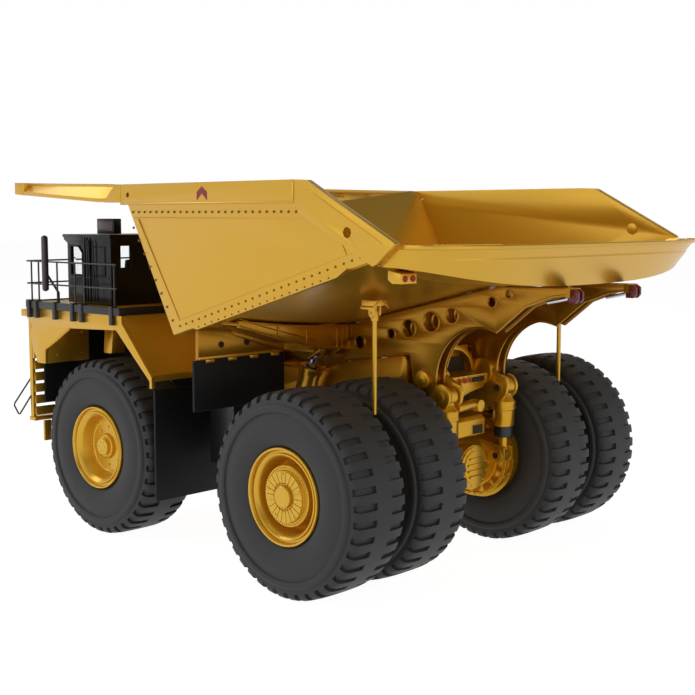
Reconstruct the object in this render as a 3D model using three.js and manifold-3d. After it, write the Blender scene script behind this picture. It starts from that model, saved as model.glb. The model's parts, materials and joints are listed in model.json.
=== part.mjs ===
// Scale model (1:50) of a rear-dump mining truck, in millimetres.
// +Z is up, the truck faces -Y, and +X is the driver's left side.
// Every piece is drawn in the axle frame, whose origin is on the ground under the rear axle;
// the outermost group moves it so that the origin is at the middle of the model's footprint.
import * as THREE from 'three';
import { mergeVertices } from 'three/addons/utils/BufferGeometryUtils.js';
import Module from 'manifold-3d';

const wasm = await Module();
wasm.setup();

// ---------------------------------------------------------------- driving dimensions
const FIT_GAP = 0.3; // between pieces that seat on each other

const WHEELBASE = 134.4;
const TYRE_RADIUS = 40.3;
const TYRE_WIDTH = 29.4;
const BEAD_RADIUS = 18.8;
const TYRE_SEGMENTS = 24;
const FRONT_TYRE_X = 70.4;
const REAR_OUTER_X = 80.9;
const REAR_INNER_X = 43.7;
const AXLE_Z = TYRE_RADIUS;
const FRONT_Y = -WHEELBASE;

// A station y given from the front axle, positive rearwards.
function ahead(offset) {
  return FRONT_Y + offset;
}


const DISH_DEPTH = 14; // from the tyre's outer face to the front rim's disc
const FRONT_DISC_X = FRONT_TYRE_X + TYRE_WIDTH / 2 - DISH_DEPTH;
const KINGPIN_X = FRONT_DISC_X - 7.1;
const KINGPIN_RADIUS = 1.8;
const SPINDLE_RADIUS = 9;

const RAIL_INNER_X = 18;
const RAIL_OUTER_X = 25;
const RAIL_FRONT_Y = ahead(-41.6);
const RAIL_END_Y = 2;
const RAIL_BOTTOM_Z = 61;
const RAIL_TOP_FRONT_Z = 78;
const RAIL_RAMP = 12; // length of the step up to the rear stretch
const RAIL_TOP_MID = [-33.4, 83];
const RAIL_TOP_END = [-0.6, 88.3];

const BED_PIVOT = [10.5, 79.4]; // y, z of the tipping pin
const BED_PIN_RADIUS = 3;
const STRUT_X = 19.5;
const STRUT_Y = 19;
const STRUT_TOP_PIN_Z = 72.9;
const STRUT_LOW_PIN_Z = 44.9;

const HOIST_LOW = [-62, 32]; // y, z of the pin on the frame
const HOIST_TOP = [-42, 88]; // y, z of the pin on the bed
const HOIST_BARREL_RADIUS = 4.6;
const HOIST_GLAND = 0.6; // the gland stands this much proud of the barrel
const HANGER_PROUD = 3; // the hoist's hanger stands this much outside the rail
const HOIST_X = RAIL_OUTER_X + HANGER_PROUD + 0.8 + HOIST_BARREL_RADIUS + HOIST_GLAND;
const HOIST_ROD_RADIUS = 2.4;
const HOIST_BARREL_LENGTH = 52;
const HOIST_EYE_RADIUS = 3.6;
const HOIST_PIN_RADIUS = 1.6;
const HOIST_LUG_GAP = 6; // from the hoist's middle to each lug on the bed

const BED_HALF_WIDTH = 95;
const BED_RAIL_X = BED_HALF_WIDTH + 1.5;
const BED_RAIL_Z = [150.5, 159];
const BED_SIDE_PLATE = 1.6;
const BED_FLOOR_THICKNESS = 3.5;
const BED_FRONT_TOP_Y = -95;
const BED_FRONT_FOOT = [-62.6, 97.7];
const BED_BOTTOM_SLOPE = 0.301;
const BED_SEAM_Y = 44;
const TAIL_HALF_WIDTH = BED_HALF_WIDTH - 3;
const TAIL_CORNER_Y = 58;
const TAIL_DEPTH = 26;
const TAIL_FOOT_BACK = 9; // the tail's foot stands this far ahead of its lip
const TAIL_LIP_Z = 136;
const CANOPY_TIP_Y = ahead(-42.6);
const CANOPY_TIP_Z = [155.9, 161.2];

const STRINGER_WEBS = [[17.3, 18.5], [22.5, 23.7]];

const DECK_Z = [103, 105.6];
const DECK_HALF_WIDTH = 88;
const DECK_Y = [ahead(-51.6), ahead(25.4)];
const CAB_X = [40, 80];
const CAB_Y = [ahead(-25.6), ahead(8.4)];
const CAB_TOP_Z = 137.4;
const CAB_WALL = 1.6;
const RAIL_WIRE = 0.8; // radius of a handrail wire
const HANDRAIL_TOP_Z = 124.6;
const HANDRAIL_MID_Z = 114;

// ---------------------------------------------------------------- colours
const YELLOW = { color: 0xe0a52c, roughness: 0.35, metalness: 0.1 };
const BLACK = { color: 0x17171a, roughness: 0.55, metalness: 0.0 };
const RUBBER = { color: 0x2b2b2d, roughness: 0.85, metalness: 0.0 };
const DARK_METAL = { color: 0x2c2a28, roughness: 0.5, metalness: 0.6 };
const CLEAR = { color: 0xbfd0d6, roughness: 0.05, metalness: 0.0 };
const SEAT = { color: 0x3a3a3e, roughness: 0.8, metalness: 0.0 };
const BRIGHT = { color: 0xc8c8c8, roughness: 0.2, metalness: 0.9 };

// ---------------------------------------------------------------- shape helpers

// Merge shared corners, drop slivers of no area and make the faces point out.
function tidy(geometry) {
  const bare = geometry.index ? geometry.toNonIndexed() : geometry.clone();
  bare.deleteAttribute('normal');
  bare.deleteAttribute('uv');
  const merged = mergeVertices(bare, 1e-4);
  const p = merged.attributes.position;
  const corners = merged.index.array;
  const kept = [];
  let volume = 0;
  const a = new THREE.Vector3();
  const b = new THREE.Vector3();
  const c = new THREE.Vector3();
  for (let i = 0; i < corners.length; i += 3) {
    const [u, v, w] = [corners[i], corners[i + 1], corners[i + 2]];
    if (u === v || v === w || u === w) continue;
    kept.push(u, v, w);
    a.fromBufferAttribute(p, u);
    b.fromBufferAttribute(p, v);
    c.fromBufferAttribute(p, w);
    volume += a.dot(b.clone().cross(c)) / 6;
  }
  if (volume < 0) kept.reverse();
  merged.setIndex(kept);
  return merged;
}

function toSolid(geometry) {
  const closed = tidy(geometry);
  const mesh = new wasm.Mesh({
    numProp: 3,
    vertProperties: new Float32Array(closed.attributes.position.array),
    triVerts: new Uint32Array(closed.index.array),
  });
  return new wasm.Manifold(mesh);
}

function toGeometry(solid) {
  const mesh = solid.getMesh();
  const geometry = new THREE.BufferGeometry();
  geometry.setAttribute('position', new THREE.BufferAttribute(mesh.vertProperties, 3));
  geometry.setIndex(new THREE.BufferAttribute(mesh.triVerts, 1));
  return geometry;
}

function join(...shapes) {
  return toGeometry(shapes.map(toSolid).reduce((whole, next) => whole.add(next)));
}

function cut(shape, ...tools) {
  return toGeometry(tools.map(toSolid).reduce((whole, tool) => whole.subtract(tool), toSolid(shape)));
}

function mirrored(geometry) {
  return tidy(geometry.clone().scale(-1, 1, 1));
}

function block([x0, x1], [y0, y1], [z0, z1]) {
  const box = new THREE.BoxGeometry(x1 - x0, y1 - y0, z1 - z0);
  return box.translate((x0 + x1) / 2, (y0 + y1) / 2, (z0 + z1) / 2);
}

function outline(points, holes = []) {
  const shape = new THREE.Shape(points.map(([u, v]) => new THREE.Vector2(u, v)));
  for (const [u, v, r] of holes) {
    const ring = new THREE.Path();
    ring.absarc(u, v, r, 0, 2 * Math.PI, true);
    shape.holes.push(ring);
  }
  return shape;
}

// A plate whose outline is drawn in (y, z) and which runs from x0 to x1.
function sidePlate(points, [x0, x1], holes = []) {
  const options = { depth: x1 - x0, bevelEnabled: false, curveSegments: 4 };
  const plate = new THREE.ExtrudeGeometry(outline(points, holes), options);
  const axes = new THREE.Matrix4().set(0, 0, 1, x0, 1, 0, 0, 0, 0, 1, 0, 0, 0, 0, 0, 1);
  return plate.applyMatrix4(axes);
}

// A plate whose outline is drawn in (x, z) and which runs from y0 to y1.
function frontPlate(points, [y0, y1], holes = []) {
  const options = { depth: y1 - y0, bevelEnabled: false, curveSegments: 4 };
  const plate = new THREE.ExtrudeGeometry(outline(points, holes), options);
  const axes = new THREE.Matrix4().set(1, 0, 0, 0, 0, 0, -1, y1, 0, 1, 0, 0, 0, 0, 0, 1);
  return plate.applyMatrix4(axes);
}

// A turned piece about a line along X; the profile is a list of (x, radius).
function turnedX(profile, segments, y = 0, z = 0) {
  const lathe = new THREE.LatheGeometry(profile.map(([x, r]) => new THREE.Vector2(r, x)), segments);
  return tidy(lathe.rotateZ(-Math.PI / 2).translate(0, y, z));
}

function pinX([x0, x1], y, z, radius, segments = 12) {
  return turnedX([[x0, 0], [x0, radius], [x1, radius], [x1, 0]], segments, y, z);
}

function pinZ(x, y, [z0, z1], radius, segments = 12) {
  const pin = new THREE.CylinderGeometry(radius, radius, z1 - z0, segments);
  return pin.rotateX(Math.PI / 2).translate(x, y, (z0 + z1) / 2);
}

// A straight round bar between two points.
function bar(from, to, radius, segments = 5) {
  const a = new THREE.Vector3(...from);
  const b = new THREE.Vector3(...to);
  const along = b.clone().sub(a);
  const length = along.length();
  const piece = new THREE.CylinderGeometry(radius, radius, length, segments);
  const turn = new THREE.Quaternion().setFromUnitVectors(new THREE.Vector3(0, 1, 0), along.normalize());
  return piece.applyQuaternion(turn).translate((a.x + b.x) / 2, (a.y + b.y) / 2, (a.z + b.z) / 2);
}

// A chain of bars with round knuckles at the bends.
function wire(points, radius) {
  const bars = [];
  for (let i = 1; i < points.length; i += 1) bars.push(bar(points[i - 1], points[i], radius));
  for (const bend of points.slice(1, -1)) {
    bars.push(new THREE.IcosahedronGeometry(radius * 1.1, 0).translate(...bend));
  }
  return join(...bars);
}

// The triangles that close a ring drawn in (y, z), wound as the ring is or the other way.
function capFaces(ring, offset, asRing) {
  const flat = ring.map(([, y, z]) => new THREE.Vector2(y, z));
  const ringTurn = Math.sign(THREE.ShapeUtils.area(flat));
  const faces = [];
  for (const face of THREE.ShapeUtils.triangulateShape(flat.slice(), [])) {
    const turn = Math.sign(THREE.ShapeUtils.area(face.map((i) => flat[i])));
    const wound = (turn === ringTurn) === asRing ? face : [...face].reverse();
    faces.push(...wound.map((i) => offset + i));
  }
  return faces;
}

// A closed skin through equal rings of points; the first and last rings are capped.
function loft(rings) {
  const n = rings[0].length;
  const corners = rings.flat(2);
  const faces = [];
  for (let r = 1; r < rings.length; r += 1) {
    for (let i = 0; i < n; i += 1) {
      const j = (i + 1) % n;
      const [a, b, c, d] = [(r - 1) * n + i, (r - 1) * n + j, r * n + j, r * n + i];
      faces.push(a, b, c, a, c, d);
    }
  }
  faces.push(...capFaces(rings[0], 0, false));
  faces.push(...capFaces(rings[rings.length - 1], (rings.length - 1) * n, true));
  const geometry = new THREE.BufferGeometry();
  geometry.setAttribute('position', new THREE.Float32BufferAttribute(corners, 3));
  geometry.setIndex(faces);
  return geometry;
}

function piece(parent, name, geometry, look) {
  const mesh = new THREE.Mesh(tidy(geometry), new THREE.MeshStandardMaterial(look));
  mesh.name = name;
  parent.add(mesh);
  return mesh;
}

function pair(parent, name, leftGeometry, look) {
  piece(parent, `${name}_left`, leftGeometry, look);
  piece(parent, `${name}_right`, mirrored(leftGeometry), look);
}

// ---------------------------------------------------------------- wheels

// The tyre's section about its own middle, with a crowned tread and stepped shoulders.
function tyre(centreX) {
  const h = TYRE_WIDTH / 2;
  const half = [
    [h - 4.2, BEAD_RADIUS],
    [h - 0.9, BEAD_RADIUS + 3.4],
    [h, BEAD_RADIUS + 11],
    [h - 1.4, TYRE_RADIUS - 4.2],
    [h - 3.4, TYRE_RADIUS],
  ];
  const left = half.map(([x, r]) => [-x, r]);
  const section = [...left, ...half.reverse()];
  const ring = [...section, section[0]].map(([x, r]) => [x + centreX, r]);
  return turnedX(ring, TYRE_SEGMENTS);
}

// The front rim is a deep dish; behind its disc it is open for the kingpin and knuckle.
function frontRim(centreX) {
  const outer = centreX + TYRE_WIDTH / 2;
  const inner = centreX - TYRE_WIDTH / 2 + 1;
  const barrel = BEAD_RADIUS - FIT_GAP;
  const disc = outer - DISH_DEPTH;
  return turnedX([
    [disc + 4.5, 0],
    [disc + 4.5, 5.2],
    [disc + 1.2, 6.4],
    [disc + 1.2, 12.6],
    [disc + 3, 15.2],
    [outer - 2.4, 16.4],
    [outer - 1.2, 17.6],
    [outer - 1.2, barrel],
    [inner, barrel],
    [inner, barrel - 1.2],
    [disc - 1.2, barrel - 1.2],
    [disc - 1.2, SPINDLE_RADIUS / 2 + FIT_GAP],
    [disc + 2, SPINDLE_RADIUS / 2 + FIT_GAP],
    [disc + 2, 0],
  ], 20);
}

// One hub carries both rear tyres of a side and turns on the axle's spindle.
function rearHub() {
  const outer = REAR_OUTER_X + TYRE_WIDTH / 2;
  const inner = REAR_INNER_X - TYRE_WIDTH / 2 + 1;
  const barrel = BEAD_RADIUS - FIT_GAP;
  const bore = SPINDLE_RADIUS + FIT_GAP;
  const web = REAR_INNER_X + TYRE_WIDTH / 2;
  return turnedX([
    [outer - 4, 0],
    [outer - 4, 3.6],
    [outer - 5.2, 4.2],
    [outer - 5.8, 12.4],
    [outer - 9.5, 12.6],
    [outer - 10.5, 15.4],
    [outer - 3, 16.2],
    [outer - 1.4, 17.6],
    [outer - 1.4, barrel],
    [inner, barrel],
    [inner, barrel - 1.5],
    [web, barrel - 1.5],
    [web, bore],
    [outer - 15, bore],
    [outer - 15, 0],
  ], 20);
}

function knuckle() {
  const body = block([KINGPIN_X - 4, KINGPIN_X + 4], [-5, 5], [-8, 8]);
  const bore = pinZ(KINGPIN_X, 0, [-9, 9], KINGPIN_RADIUS + FIT_GAP);
  const spindle = pinX([KINGPIN_X + 3.5, FRONT_DISC_X + 2 - FIT_GAP], 0, 0, SPINDLE_RADIUS / 2, 16);
  const arm = block([KINGPIN_X - 4, KINGPIN_X - 1], [4, 12], [-2, 2]);
  return cut(join(body, spindle, arm), bore);
}

// ---------------------------------------------------------------- frame and axles

function railTop(y) {
  const [y1, z1] = RAIL_TOP_MID;
  const [y2, z2] = RAIL_TOP_END;
  if (y <= y1 - RAIL_RAMP) return RAIL_TOP_FRONT_Z;
  if (y < y1) return z1 + ((z1 - RAIL_TOP_FRONT_Z) * (y - y1)) / RAIL_RAMP;
  return z1 + ((z2 - z1) * (y - y1)) / (y2 - y1);
}

function frameRails() {
  const side = [
    [RAIL_FRONT_Y, RAIL_BOTTOM_Z],
    [RAIL_END_Y - 8, RAIL_BOTTOM_Z],
    [RAIL_END_Y, RAIL_BOTTOM_Z + 8],
    [RAIL_END_Y, railTop(0) - 2.4],
    [RAIL_END_Y - 1, railTop(0) - 0.4],
    RAIL_TOP_END,
    RAIL_TOP_MID,
    [RAIL_TOP_MID[0] - RAIL_RAMP, RAIL_TOP_FRONT_Z],
    [RAIL_FRONT_Y, RAIL_TOP_FRONT_Z],
  ];
  const rail = sidePlate(side, [RAIL_INNER_X, RAIL_OUTER_X]);
  const crossY = [ahead(26.4), -80, -30];
  const tubes = crossY.map((y) => pinX([-RAIL_INNER_X - 1, RAIL_INNER_X + 1], y, 70, 4.5, 12));
  const [hy, hz] = HOIST_LOW;
  const hanger = sidePlate([
    [hy - 8, RAIL_BOTTOM_Z + 2],
    [hy - 5, hz],
    [hy - 3, hz - 4.5],
    [hy + 3, hz - 4.5],
    [hy + 5, hz],
    [hy + 8, RAIL_BOTTOM_Z + 2],
  ], [RAIL_OUTER_X - 3, RAIL_OUTER_X + HANGER_PROUD]);
  const hoistPin = pinX([RAIL_OUTER_X, HOIST_X + 4.5], hy, hz, HOIST_PIN_RADIUS);
  const bankPad = block([RAIL_OUTER_X - 1, 46], [-84, -80], [58, 66]);
  const left = join(rail, hanger, hoistPin, bankPad);
  return join(left, mirrored(left), ...tubes);
}

// The casting at the end of the frame carries the tipping pin, the struts and the tail lamps.
function rearHorn() {
  const width = RAIL_INNER_X - FIT_GAP;
  const [py, pz] = BED_PIVOT;
  const cross = block([-width, width], [-16, 3], [63, 84]);
  const core = sidePlate([[2, 60], [12.5, 60], [12.5, 74], [14.6, pz], [12.5, 84], [2, 85]], [-15.5, 15.5]);
  const arch = frontPlate([
    [-14.5, 80], [14.5, 80], [13, 86], [9, 89.5], [4, 91], [-4, 91], [-9, 89.5], [-13, 86],
  ], [4, 7]);
  const pin = pinX([-24.6, 24.6], py, pz, BED_PIN_RADIUS, 16);
  const ear = [[11, 66.8], [24, 66.8], [24, 74], [22, 75.3], [18.5, 75.3], [14, 71.3], [11, 70.2]];
  const inner = sidePlate(ear, [15, STRUT_X - 2]);
  const outer = sidePlate(ear, [STRUT_X + 2.6, STRUT_X + 4.2]);
  const bridge = block([15, STRUT_X + 4.2], [9.5, 12.6], [61, 70]);
  const strutPin = pinX([STRUT_X - 3, STRUT_X + 4.2], STRUT_Y, STRUT_TOP_PIN_Z, 1.5, 10);
  const side = join(inner, outer, bridge, strutPin);
  const lampBar = block([-11, 11], [12, 15.6], [67, 78.5]);
  return join(cross, core, arch, pin, side, mirrored(side), lampBar);
}

function strut() {
  const lugWidth = [STRUT_X - 1.7, STRUT_X + 1.7];
  const z = STRUT_TOP_PIN_Z;
  const lug = sidePlate([
    [STRUT_Y - 2, z - 7], [STRUT_Y + 2, z - 7], [STRUT_Y + 3, z + 1], [STRUT_Y + 1.6, z + 4],
    [STRUT_Y - 1.6, z + 4], [STRUT_Y - 3, z + 1],
  ], lugWidth, [[STRUT_Y, z, 1.5 + FIT_GAP]]);
  const collar = pinZ(STRUT_X, STRUT_Y, [63, 66.3], 5.1, 14);
  const barrel = pinZ(STRUT_X, STRUT_Y, [56, 63.5], 4.6, 14);
  const boot = pinZ(STRUT_X, STRUT_Y, [51, 56.5], 4.2, 14);
  const lowZ = STRUT_LOW_PIN_Z;
  const low = sidePlate([
    [STRUT_Y - 2.2, 52], [STRUT_Y - 2.2, lowZ], [STRUT_Y - 1.6, lowZ - 3.2], [STRUT_Y + 1.6, lowZ - 3.2],
    [STRUT_Y + 2.2, lowZ], [STRUT_Y + 2.2, 52],
  ], lugWidth, [[STRUT_Y, lowZ, 1.5 + FIT_GAP]]);
  return join(lug, collar, barrel, boot, low);
}

function rearAxle() {
  const flange = REAR_INNER_X - TYRE_WIDTH / 2 - 1.5;
  const tip = REAR_OUTER_X + TYRE_WIDTH / 2 - 15 - FIT_GAP;
  const half = [
    [tip, 0], [tip, SPINDLE_RADIUS], [flange + 1, SPINDLE_RADIUS], [flange + 1, 17.5], [flange - 1.4, 17.5],
    [flange - 3, 12.5], [15, 13.5], [9, 15.5],
  ];
  const profile = [...half, ...half.map(([x, r]) => [-x, r]).reverse()];
  const housing = turnedX(profile, 18, 0, AXLE_Z);
  const hatch = new THREE.CylinderGeometry(9.5, 9.5, 8, 20).translate(0, 14, AXLE_Z);
  const lowEar = [[8, 38], [22, 41], [22, 47], [8, 50]];
  const ears = [[STRUT_X - 3.6, STRUT_X - 2], [STRUT_X + 2, STRUT_X + 3.6]].map((x) => sidePlate(lowEar, x));
  const lowPin = pinX([STRUT_X - 3, STRUT_X + 3], STRUT_Y, STRUT_LOW_PIN_Z, 1.5, 10);
  const side = join(...ears, lowPin);
  const torqueArm = sidePlate([[-12, 43], [-6, 49], [-28, 60], [-33, 57]], [-6, 6]);
  return join(housing, hatch, side, mirrored(side), torqueArm);
}

function frontAxle() {
  const reach = KINGPIN_X - 6.5;
  const beam = block([-reach, reach], [FRONT_Y - 4, FRONT_Y + 4], [AXLE_Z - 6, AXLE_Z + 6]);
  const riserZ = [AXLE_Z, RAIL_BOTTOM_Z - FIT_GAP];
  const riser = block([RAIL_INNER_X, RAIL_OUTER_X], [FRONT_Y - 7, FRONT_Y + 7], riserZ);
  const gap = 8 + FIT_GAP;
  const forkZ = [AXLE_Z - gap - 2.4, AXLE_Z + gap + 2.4];
  const fork = block([reach - 4, KINGPIN_X + 3], [FRONT_Y - 4, FRONT_Y + 4], forkZ);
  const throat = block([reach, KINGPIN_X + 4], [FRONT_Y - 5, FRONT_Y + 5], [AXLE_Z - gap, AXLE_Z + gap]);
  const kingpin = pinZ(KINGPIN_X, FRONT_Y, [AXLE_Z - gap - 1, AXLE_Z + gap + 1], KINGPIN_RADIUS);
  const end = join(cut(fork, throat), kingpin);
  return join(beam, riser, mirrored(riser), end, mirrored(end));
}

// ---------------------------------------------------------------- engine bay, tanks and front

function engineBlock() {
  const core = block([-15.5, 15.5], [ahead(-33.6), ahead(19.4)], [64, 98]);
  const railGap = RAIL_INNER_X - FIT_GAP;
  const feet = block([-railGap, railGap], [ahead(-15.6), ahead(4.4)], [66, 72]);
  return join(core, feet);
}

function radiator() {
  const core = block([-36, 36], [ahead(-49.6), RAIL_FRONT_Y - FIT_GAP], [50, DECK_Z[0] - FIT_GAP]);
  const lampRecess = [[28, 33], [52, 60]];
  const recessY = [ahead(-55.6), ahead(-48.6)];
  return cut(core, block([-35, -27], recessY, lampRecess[1]), block([27, 35], recessY, lampRecess[1]));
}

function bumper() {
  const beam = block([-65, 65], [ahead(-54.6), ahead(-49.6) - FIT_GAP], [42, 49]);
  const foot = block([-36, 36], [ahead(-51.6), RAIL_FRONT_Y - FIT_GAP], [42, 49.7]);
  const hook = block([-4, 4], [ahead(-57.6), ahead(-53.6)], [43, 47]);
  return join(beam, foot, hook);
}

function fuelTank() {
  return block([40, 62], [-80 + FIT_GAP, -64], [38, 66]);
}

function deck() {
  const plate = block([-DECK_HALF_WIDTH, DECK_HALF_WIDTH], DECK_Y, DECK_Z);
  const hatchway = block([69, DECK_HALF_WIDTH - 4], [DECK_Y[0] - 1, DECK_Y[0] + 5], [100, 110]);
  const stiffener = block([-25, 25], [DECK_Y[1] - 4, DECK_Y[1]], [94, 104]);
  const postZ = [RAIL_TOP_FRONT_Z + FIT_GAP, 104];
  const post = block([RAIL_INNER_X + 1, RAIL_OUTER_X - 1], [ahead(20.4), ahead(24.4)], postZ);
  return cut(join(plate, stiffener, post, mirrored(post)), hatchway, mirrored(hatchway));
}

// The arch over the front wheel, hung from the deck's side beam.
function fender() {
  const t = 1.6;
  const inner = RAIL_OUTER_X + FIT_GAP;
  const outer = 86;
  const top = DECK_Z[0] - FIT_GAP;
  const arch = sidePlate([
    [ahead(-37.6), 83], [ahead(-15.6), 95], [ahead(21.4), 97], [ahead(44.8), 75.6], [ahead(44.8), 72],
    [ahead(46.4), 72], [ahead(46.4), 77], [ahead(25.4), 99.5], [ahead(25.4), top], [ahead(21.4), top],
    [ahead(21.4), 97 + t], [ahead(-15.6), 95 + t], [ahead(-37.6), 83 + t],
  ], [inner, outer]);
  const skirt = sidePlate([
    [ahead(-51.6), 97], [ahead(-48.6), 86], [ahead(-49.6), 78], [ahead(-47.2), 78], [ahead(-37.6), 83],
    [ahead(-15.6), 95], [ahead(21.4), 97], [ahead(26.4), 92], [ahead(28.4), 94.5], [ahead(25.4), 99],
    [ahead(25.4), top], [ahead(-51.6), top],
  ], [outer - 1.6, outer + 1.4]);
  const bulkhead = block([60, outer], [ahead(-48.8), ahead(-47.2)], [83, top]);
  const shelf = sidePlate([
    [ahead(-47.6), 83], [ahead(-36.6), 83], [ahead(-35.6), 85], [ahead(-47.6), 85],
  ], [60, outer]);
  const inboard = sidePlate([
    [ahead(-15.6), 95], [ahead(21.4), 97], [ahead(21.4), top], [ahead(-15.6), top],
  ], [inner, inner + 2]);
  const box = block([58, 68], [ahead(-15.6), ahead(-8.6)], [81.5, 96.5]);
  return join(arch, skirt, bulkhead, shelf, inboard, box);
}

function frontFlap() {
  return block([60, 79.8], [ahead(-48.6), ahead(-47.5)], [55.7, 82.7]);
}

function wheelFlap() {
  return block([44, 86], [ahead(45.8), ahead(47)], [23, 71.6]);
}

// Steps up to the deck, with the wire guard that reaches ahead of them on the left.
function ladder(withGuard) {
  const stiles = [68.8, 83.2].map((x) => block([x - 0.8, x + 0.8], [ahead(-54), ahead(-52)], [48, 102]));
  const steps = [];
  for (let i = 0; i < 9; i += 1) {
    const z = 50 + i * 5.6;
    steps.push(block([67.5, 83.5], [ahead(-55.2), ahead(-51.2)], [z, z + 1]));
  }
  const foot = block([66, 86], [ahead(-55.6), ahead(-49.6)], [47, 48.6]);
  const hanger = block([70, 82], [ahead(-52.6), ahead(-49.1)], [84, 85.6]);
  const pieces = [...stiles, ...steps, foot, hanger];
  if (withGuard) {
    pieces.push(wire([
      [83, ahead(-52.6), 70], [86, ahead(-65.6), 53], [86, ahead(-64.6), 49], [84, ahead(-53.6), 49],
    ], RAIL_WIRE));
  }
  return join(...pieces);
}

// ---------------------------------------------------------------- cab and deck furniture

function cabShell() {
  const [x0, x1] = CAB_X;
  const [y0, y1] = CAB_Y;
  const base = DECK_Z[1] + FIT_GAP;
  const w = CAB_WALL;
  const shell = sidePlate([
    [y0, base], [y1, base], [y1, CAB_TOP_Z],
    [y0 - 3, CAB_TOP_Z], [y0 - 3, CAB_TOP_Z - 2.4], [y0, CAB_TOP_Z - 4],
  ], [x0, x1]);
  const room = block([x0 + w, x1 - w], [y0 + w, y1 - w], [base + w, CAB_TOP_Z - w]);
  const sill = base + 13;
  const head = CAB_TOP_Z - 5.4;
  const windscreen = block([x0 + 3.4, x1 - 3.4], [y0 - 4, y0 + w + 1], [sill - 2, head]);
  const frontSide = sidePlate([
    [y0 + 3.2, sill], [y0 + 12.4, sill], [y0 + 12.4, head - 3], [y0 + 9.4, head], [y0 + 3.2, head],
  ], [x0 - 1, x1 + 1]);
  const rearSide = sidePlate([
    [y0 + 16.6, sill], [y1 - 4, sill], [y1 - 4, head], [y0 + 16.6, head],
  ], [x0 - 1, x0 + w + 1]);
  const rearWindow = block([x0 + 6, x0 + 15], [y1 - w - 1, y1 + 1], [sill, head - 2]);
  return cut(shell, room, windscreen, frontSide, rearSide, rearWindow);
}

// One clear moulding fills the windscreen and wraps to the front side windows.
function cabGlass() {
  const [x0, x1] = CAB_X;
  const y0 = CAB_Y[0] + CAB_WALL + FIT_GAP;
  const base = DECK_Z[1] + CAB_WALL + 2 * FIT_GAP;
  const inset = CAB_WALL + FIT_GAP;
  const front = block([x0 + inset, x1 - inset], [y0, y0 + 1], [base, CAB_TOP_Z - inset]);
  const side = block([x1 - inset - 1, x1 - inset], [y0, y0 + 14], [base, CAB_TOP_Z - inset]);
  const farSide = block([x0 + inset, x0 + inset + 1], [y0, y0 + 14], [base, CAB_TOP_Z - inset]);
  return join(front, side, farSide);
}

function cabSeat() {
  const base = DECK_Z[1] + CAB_WALL + 2 * FIT_GAP;
  const pedestal = block([57, 63], [ahead(-7.6), ahead(-1.6)], [base, base + 6]);
  const cushion = block([55, 65], [ahead(-11.6), ahead(-0.6)], [base + 5, base + 8]);
  const back = sidePlate([
    [ahead(-3.6), base + 6], [ahead(-0.6), base + 6], [ahead(1.4), base + 18], [ahead(-1.6), base + 18],
  ], [55, 65]);
  return join(pedestal, cushion, back);
}

function roofSign() {
  const top = CAB_TOP_Z + FIT_GAP;
  return block([70, 74.4], [ahead(-9.6), ahead(3.4)], [top, top + 7]);
}

function controlCabinet() {
  const base = DECK_Z[1] + FIT_GAP;
  const cabinet = block([-78, -34], [ahead(-17.6), ahead(20.4)], [base, base + 24]);
  const intake = block([-70, -42], [ahead(-31.6), ahead(-16.6)], [base, base + 14]);
  return join(cabinet, intake);
}

// A fence of wire posts with two wires along them; sockets clasp the deck's edge.
function handrail(route, posts) {
  const base = DECK_Z[1] + FIT_GAP;
  const along = (z) => wire(route.map(([x, y]) => [x, y, z]), RAIL_WIRE);
  const stands = posts.map(([x, y]) => bar([x, y, base], [x, y, HANDRAIL_TOP_Z], RAIL_WIRE));
  return join(along(HANDRAIL_TOP_Z), along(HANDRAIL_MID_Z), ...stands);
}

function leftHandrail() {
  const x = DECK_HALF_WIDTH - 1.5;
  const front = DECK_Y[0] + 1.5;
  const sides = [-40.1, -24.6, -10.2, -3.1, 19.9].map((offset) => [x, ahead(offset)]);
  const posts = [[x, front], ...sides, [60, front], [36, front], [6, front]];
  return handrail([[6, front], [x, front], [x, ahead(19.9)]], posts);
}

function rightHandrail() {
  const x = -DECK_HALF_WIDTH + 1.5;
  const front = DECK_Y[0] + 1.5;
  const sides = [-24.6, -3.1, 19.9].map((offset) => [x, ahead(offset)]);
  const posts = [[x, front], ...sides, [-60, front], [-36, front], [0, front]];
  return handrail([[0, front], [x, front], [x, ahead(19.9)]], posts);
}

function mirrorArm() {
  const x = DECK_HALF_WIDTH + 1.6;
  const y = ahead(-29.6);
  const foot = x - 7;
  const arm = wire([[foot, y, DECK_Z[1] + FIT_GAP], [foot, y, 117], [x, y, 119.4], [x, y, 130]], 0.9);
  const head = block([x - 1.5, x + 1.5], [y - 1.5, y + 1.5], [111, 137]);
  return join(arm, head);
}

// ---------------------------------------------------------------- bed

// Height of the bottom edge of the bed's side at a station y.
function sideBottom(y) {
  return BED_FRONT_FOOT[1] + BED_BOTTOM_SLOPE * (y - BED_FRONT_FOOT[0]);
}

// Height of the belly along the middle of the bed.
const KEEL = [
  [-64, 97.2], [-43, 98.7], [-29.8, 100.1], [7.3, 109.4], [34.4, 116.2], [48.5, 119.3], [90, 120],
];
function keel(y) {
  let i = 1;
  while (i < KEEL.length - 1 && KEEL[i][0] < y) i += 1;
  const [[ya, za], [yb, zb]] = [KEEL[i - 1], KEEL[i]];
  return za + ((zb - za) * (y - ya)) / (yb - ya);
}

// Underside of the floor: it rises from the keel to the foot of the side.
function belly(x, y) {
  const share = Math.min(1, Math.abs(x) / BED_HALF_WIDTH) ** 2.2;
  return keel(y) + (sideBottom(y) - keel(y)) * share;
}

const BED_INNER_X = BED_HALF_WIDTH - BED_SIDE_PLATE - FIT_GAP;

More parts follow.
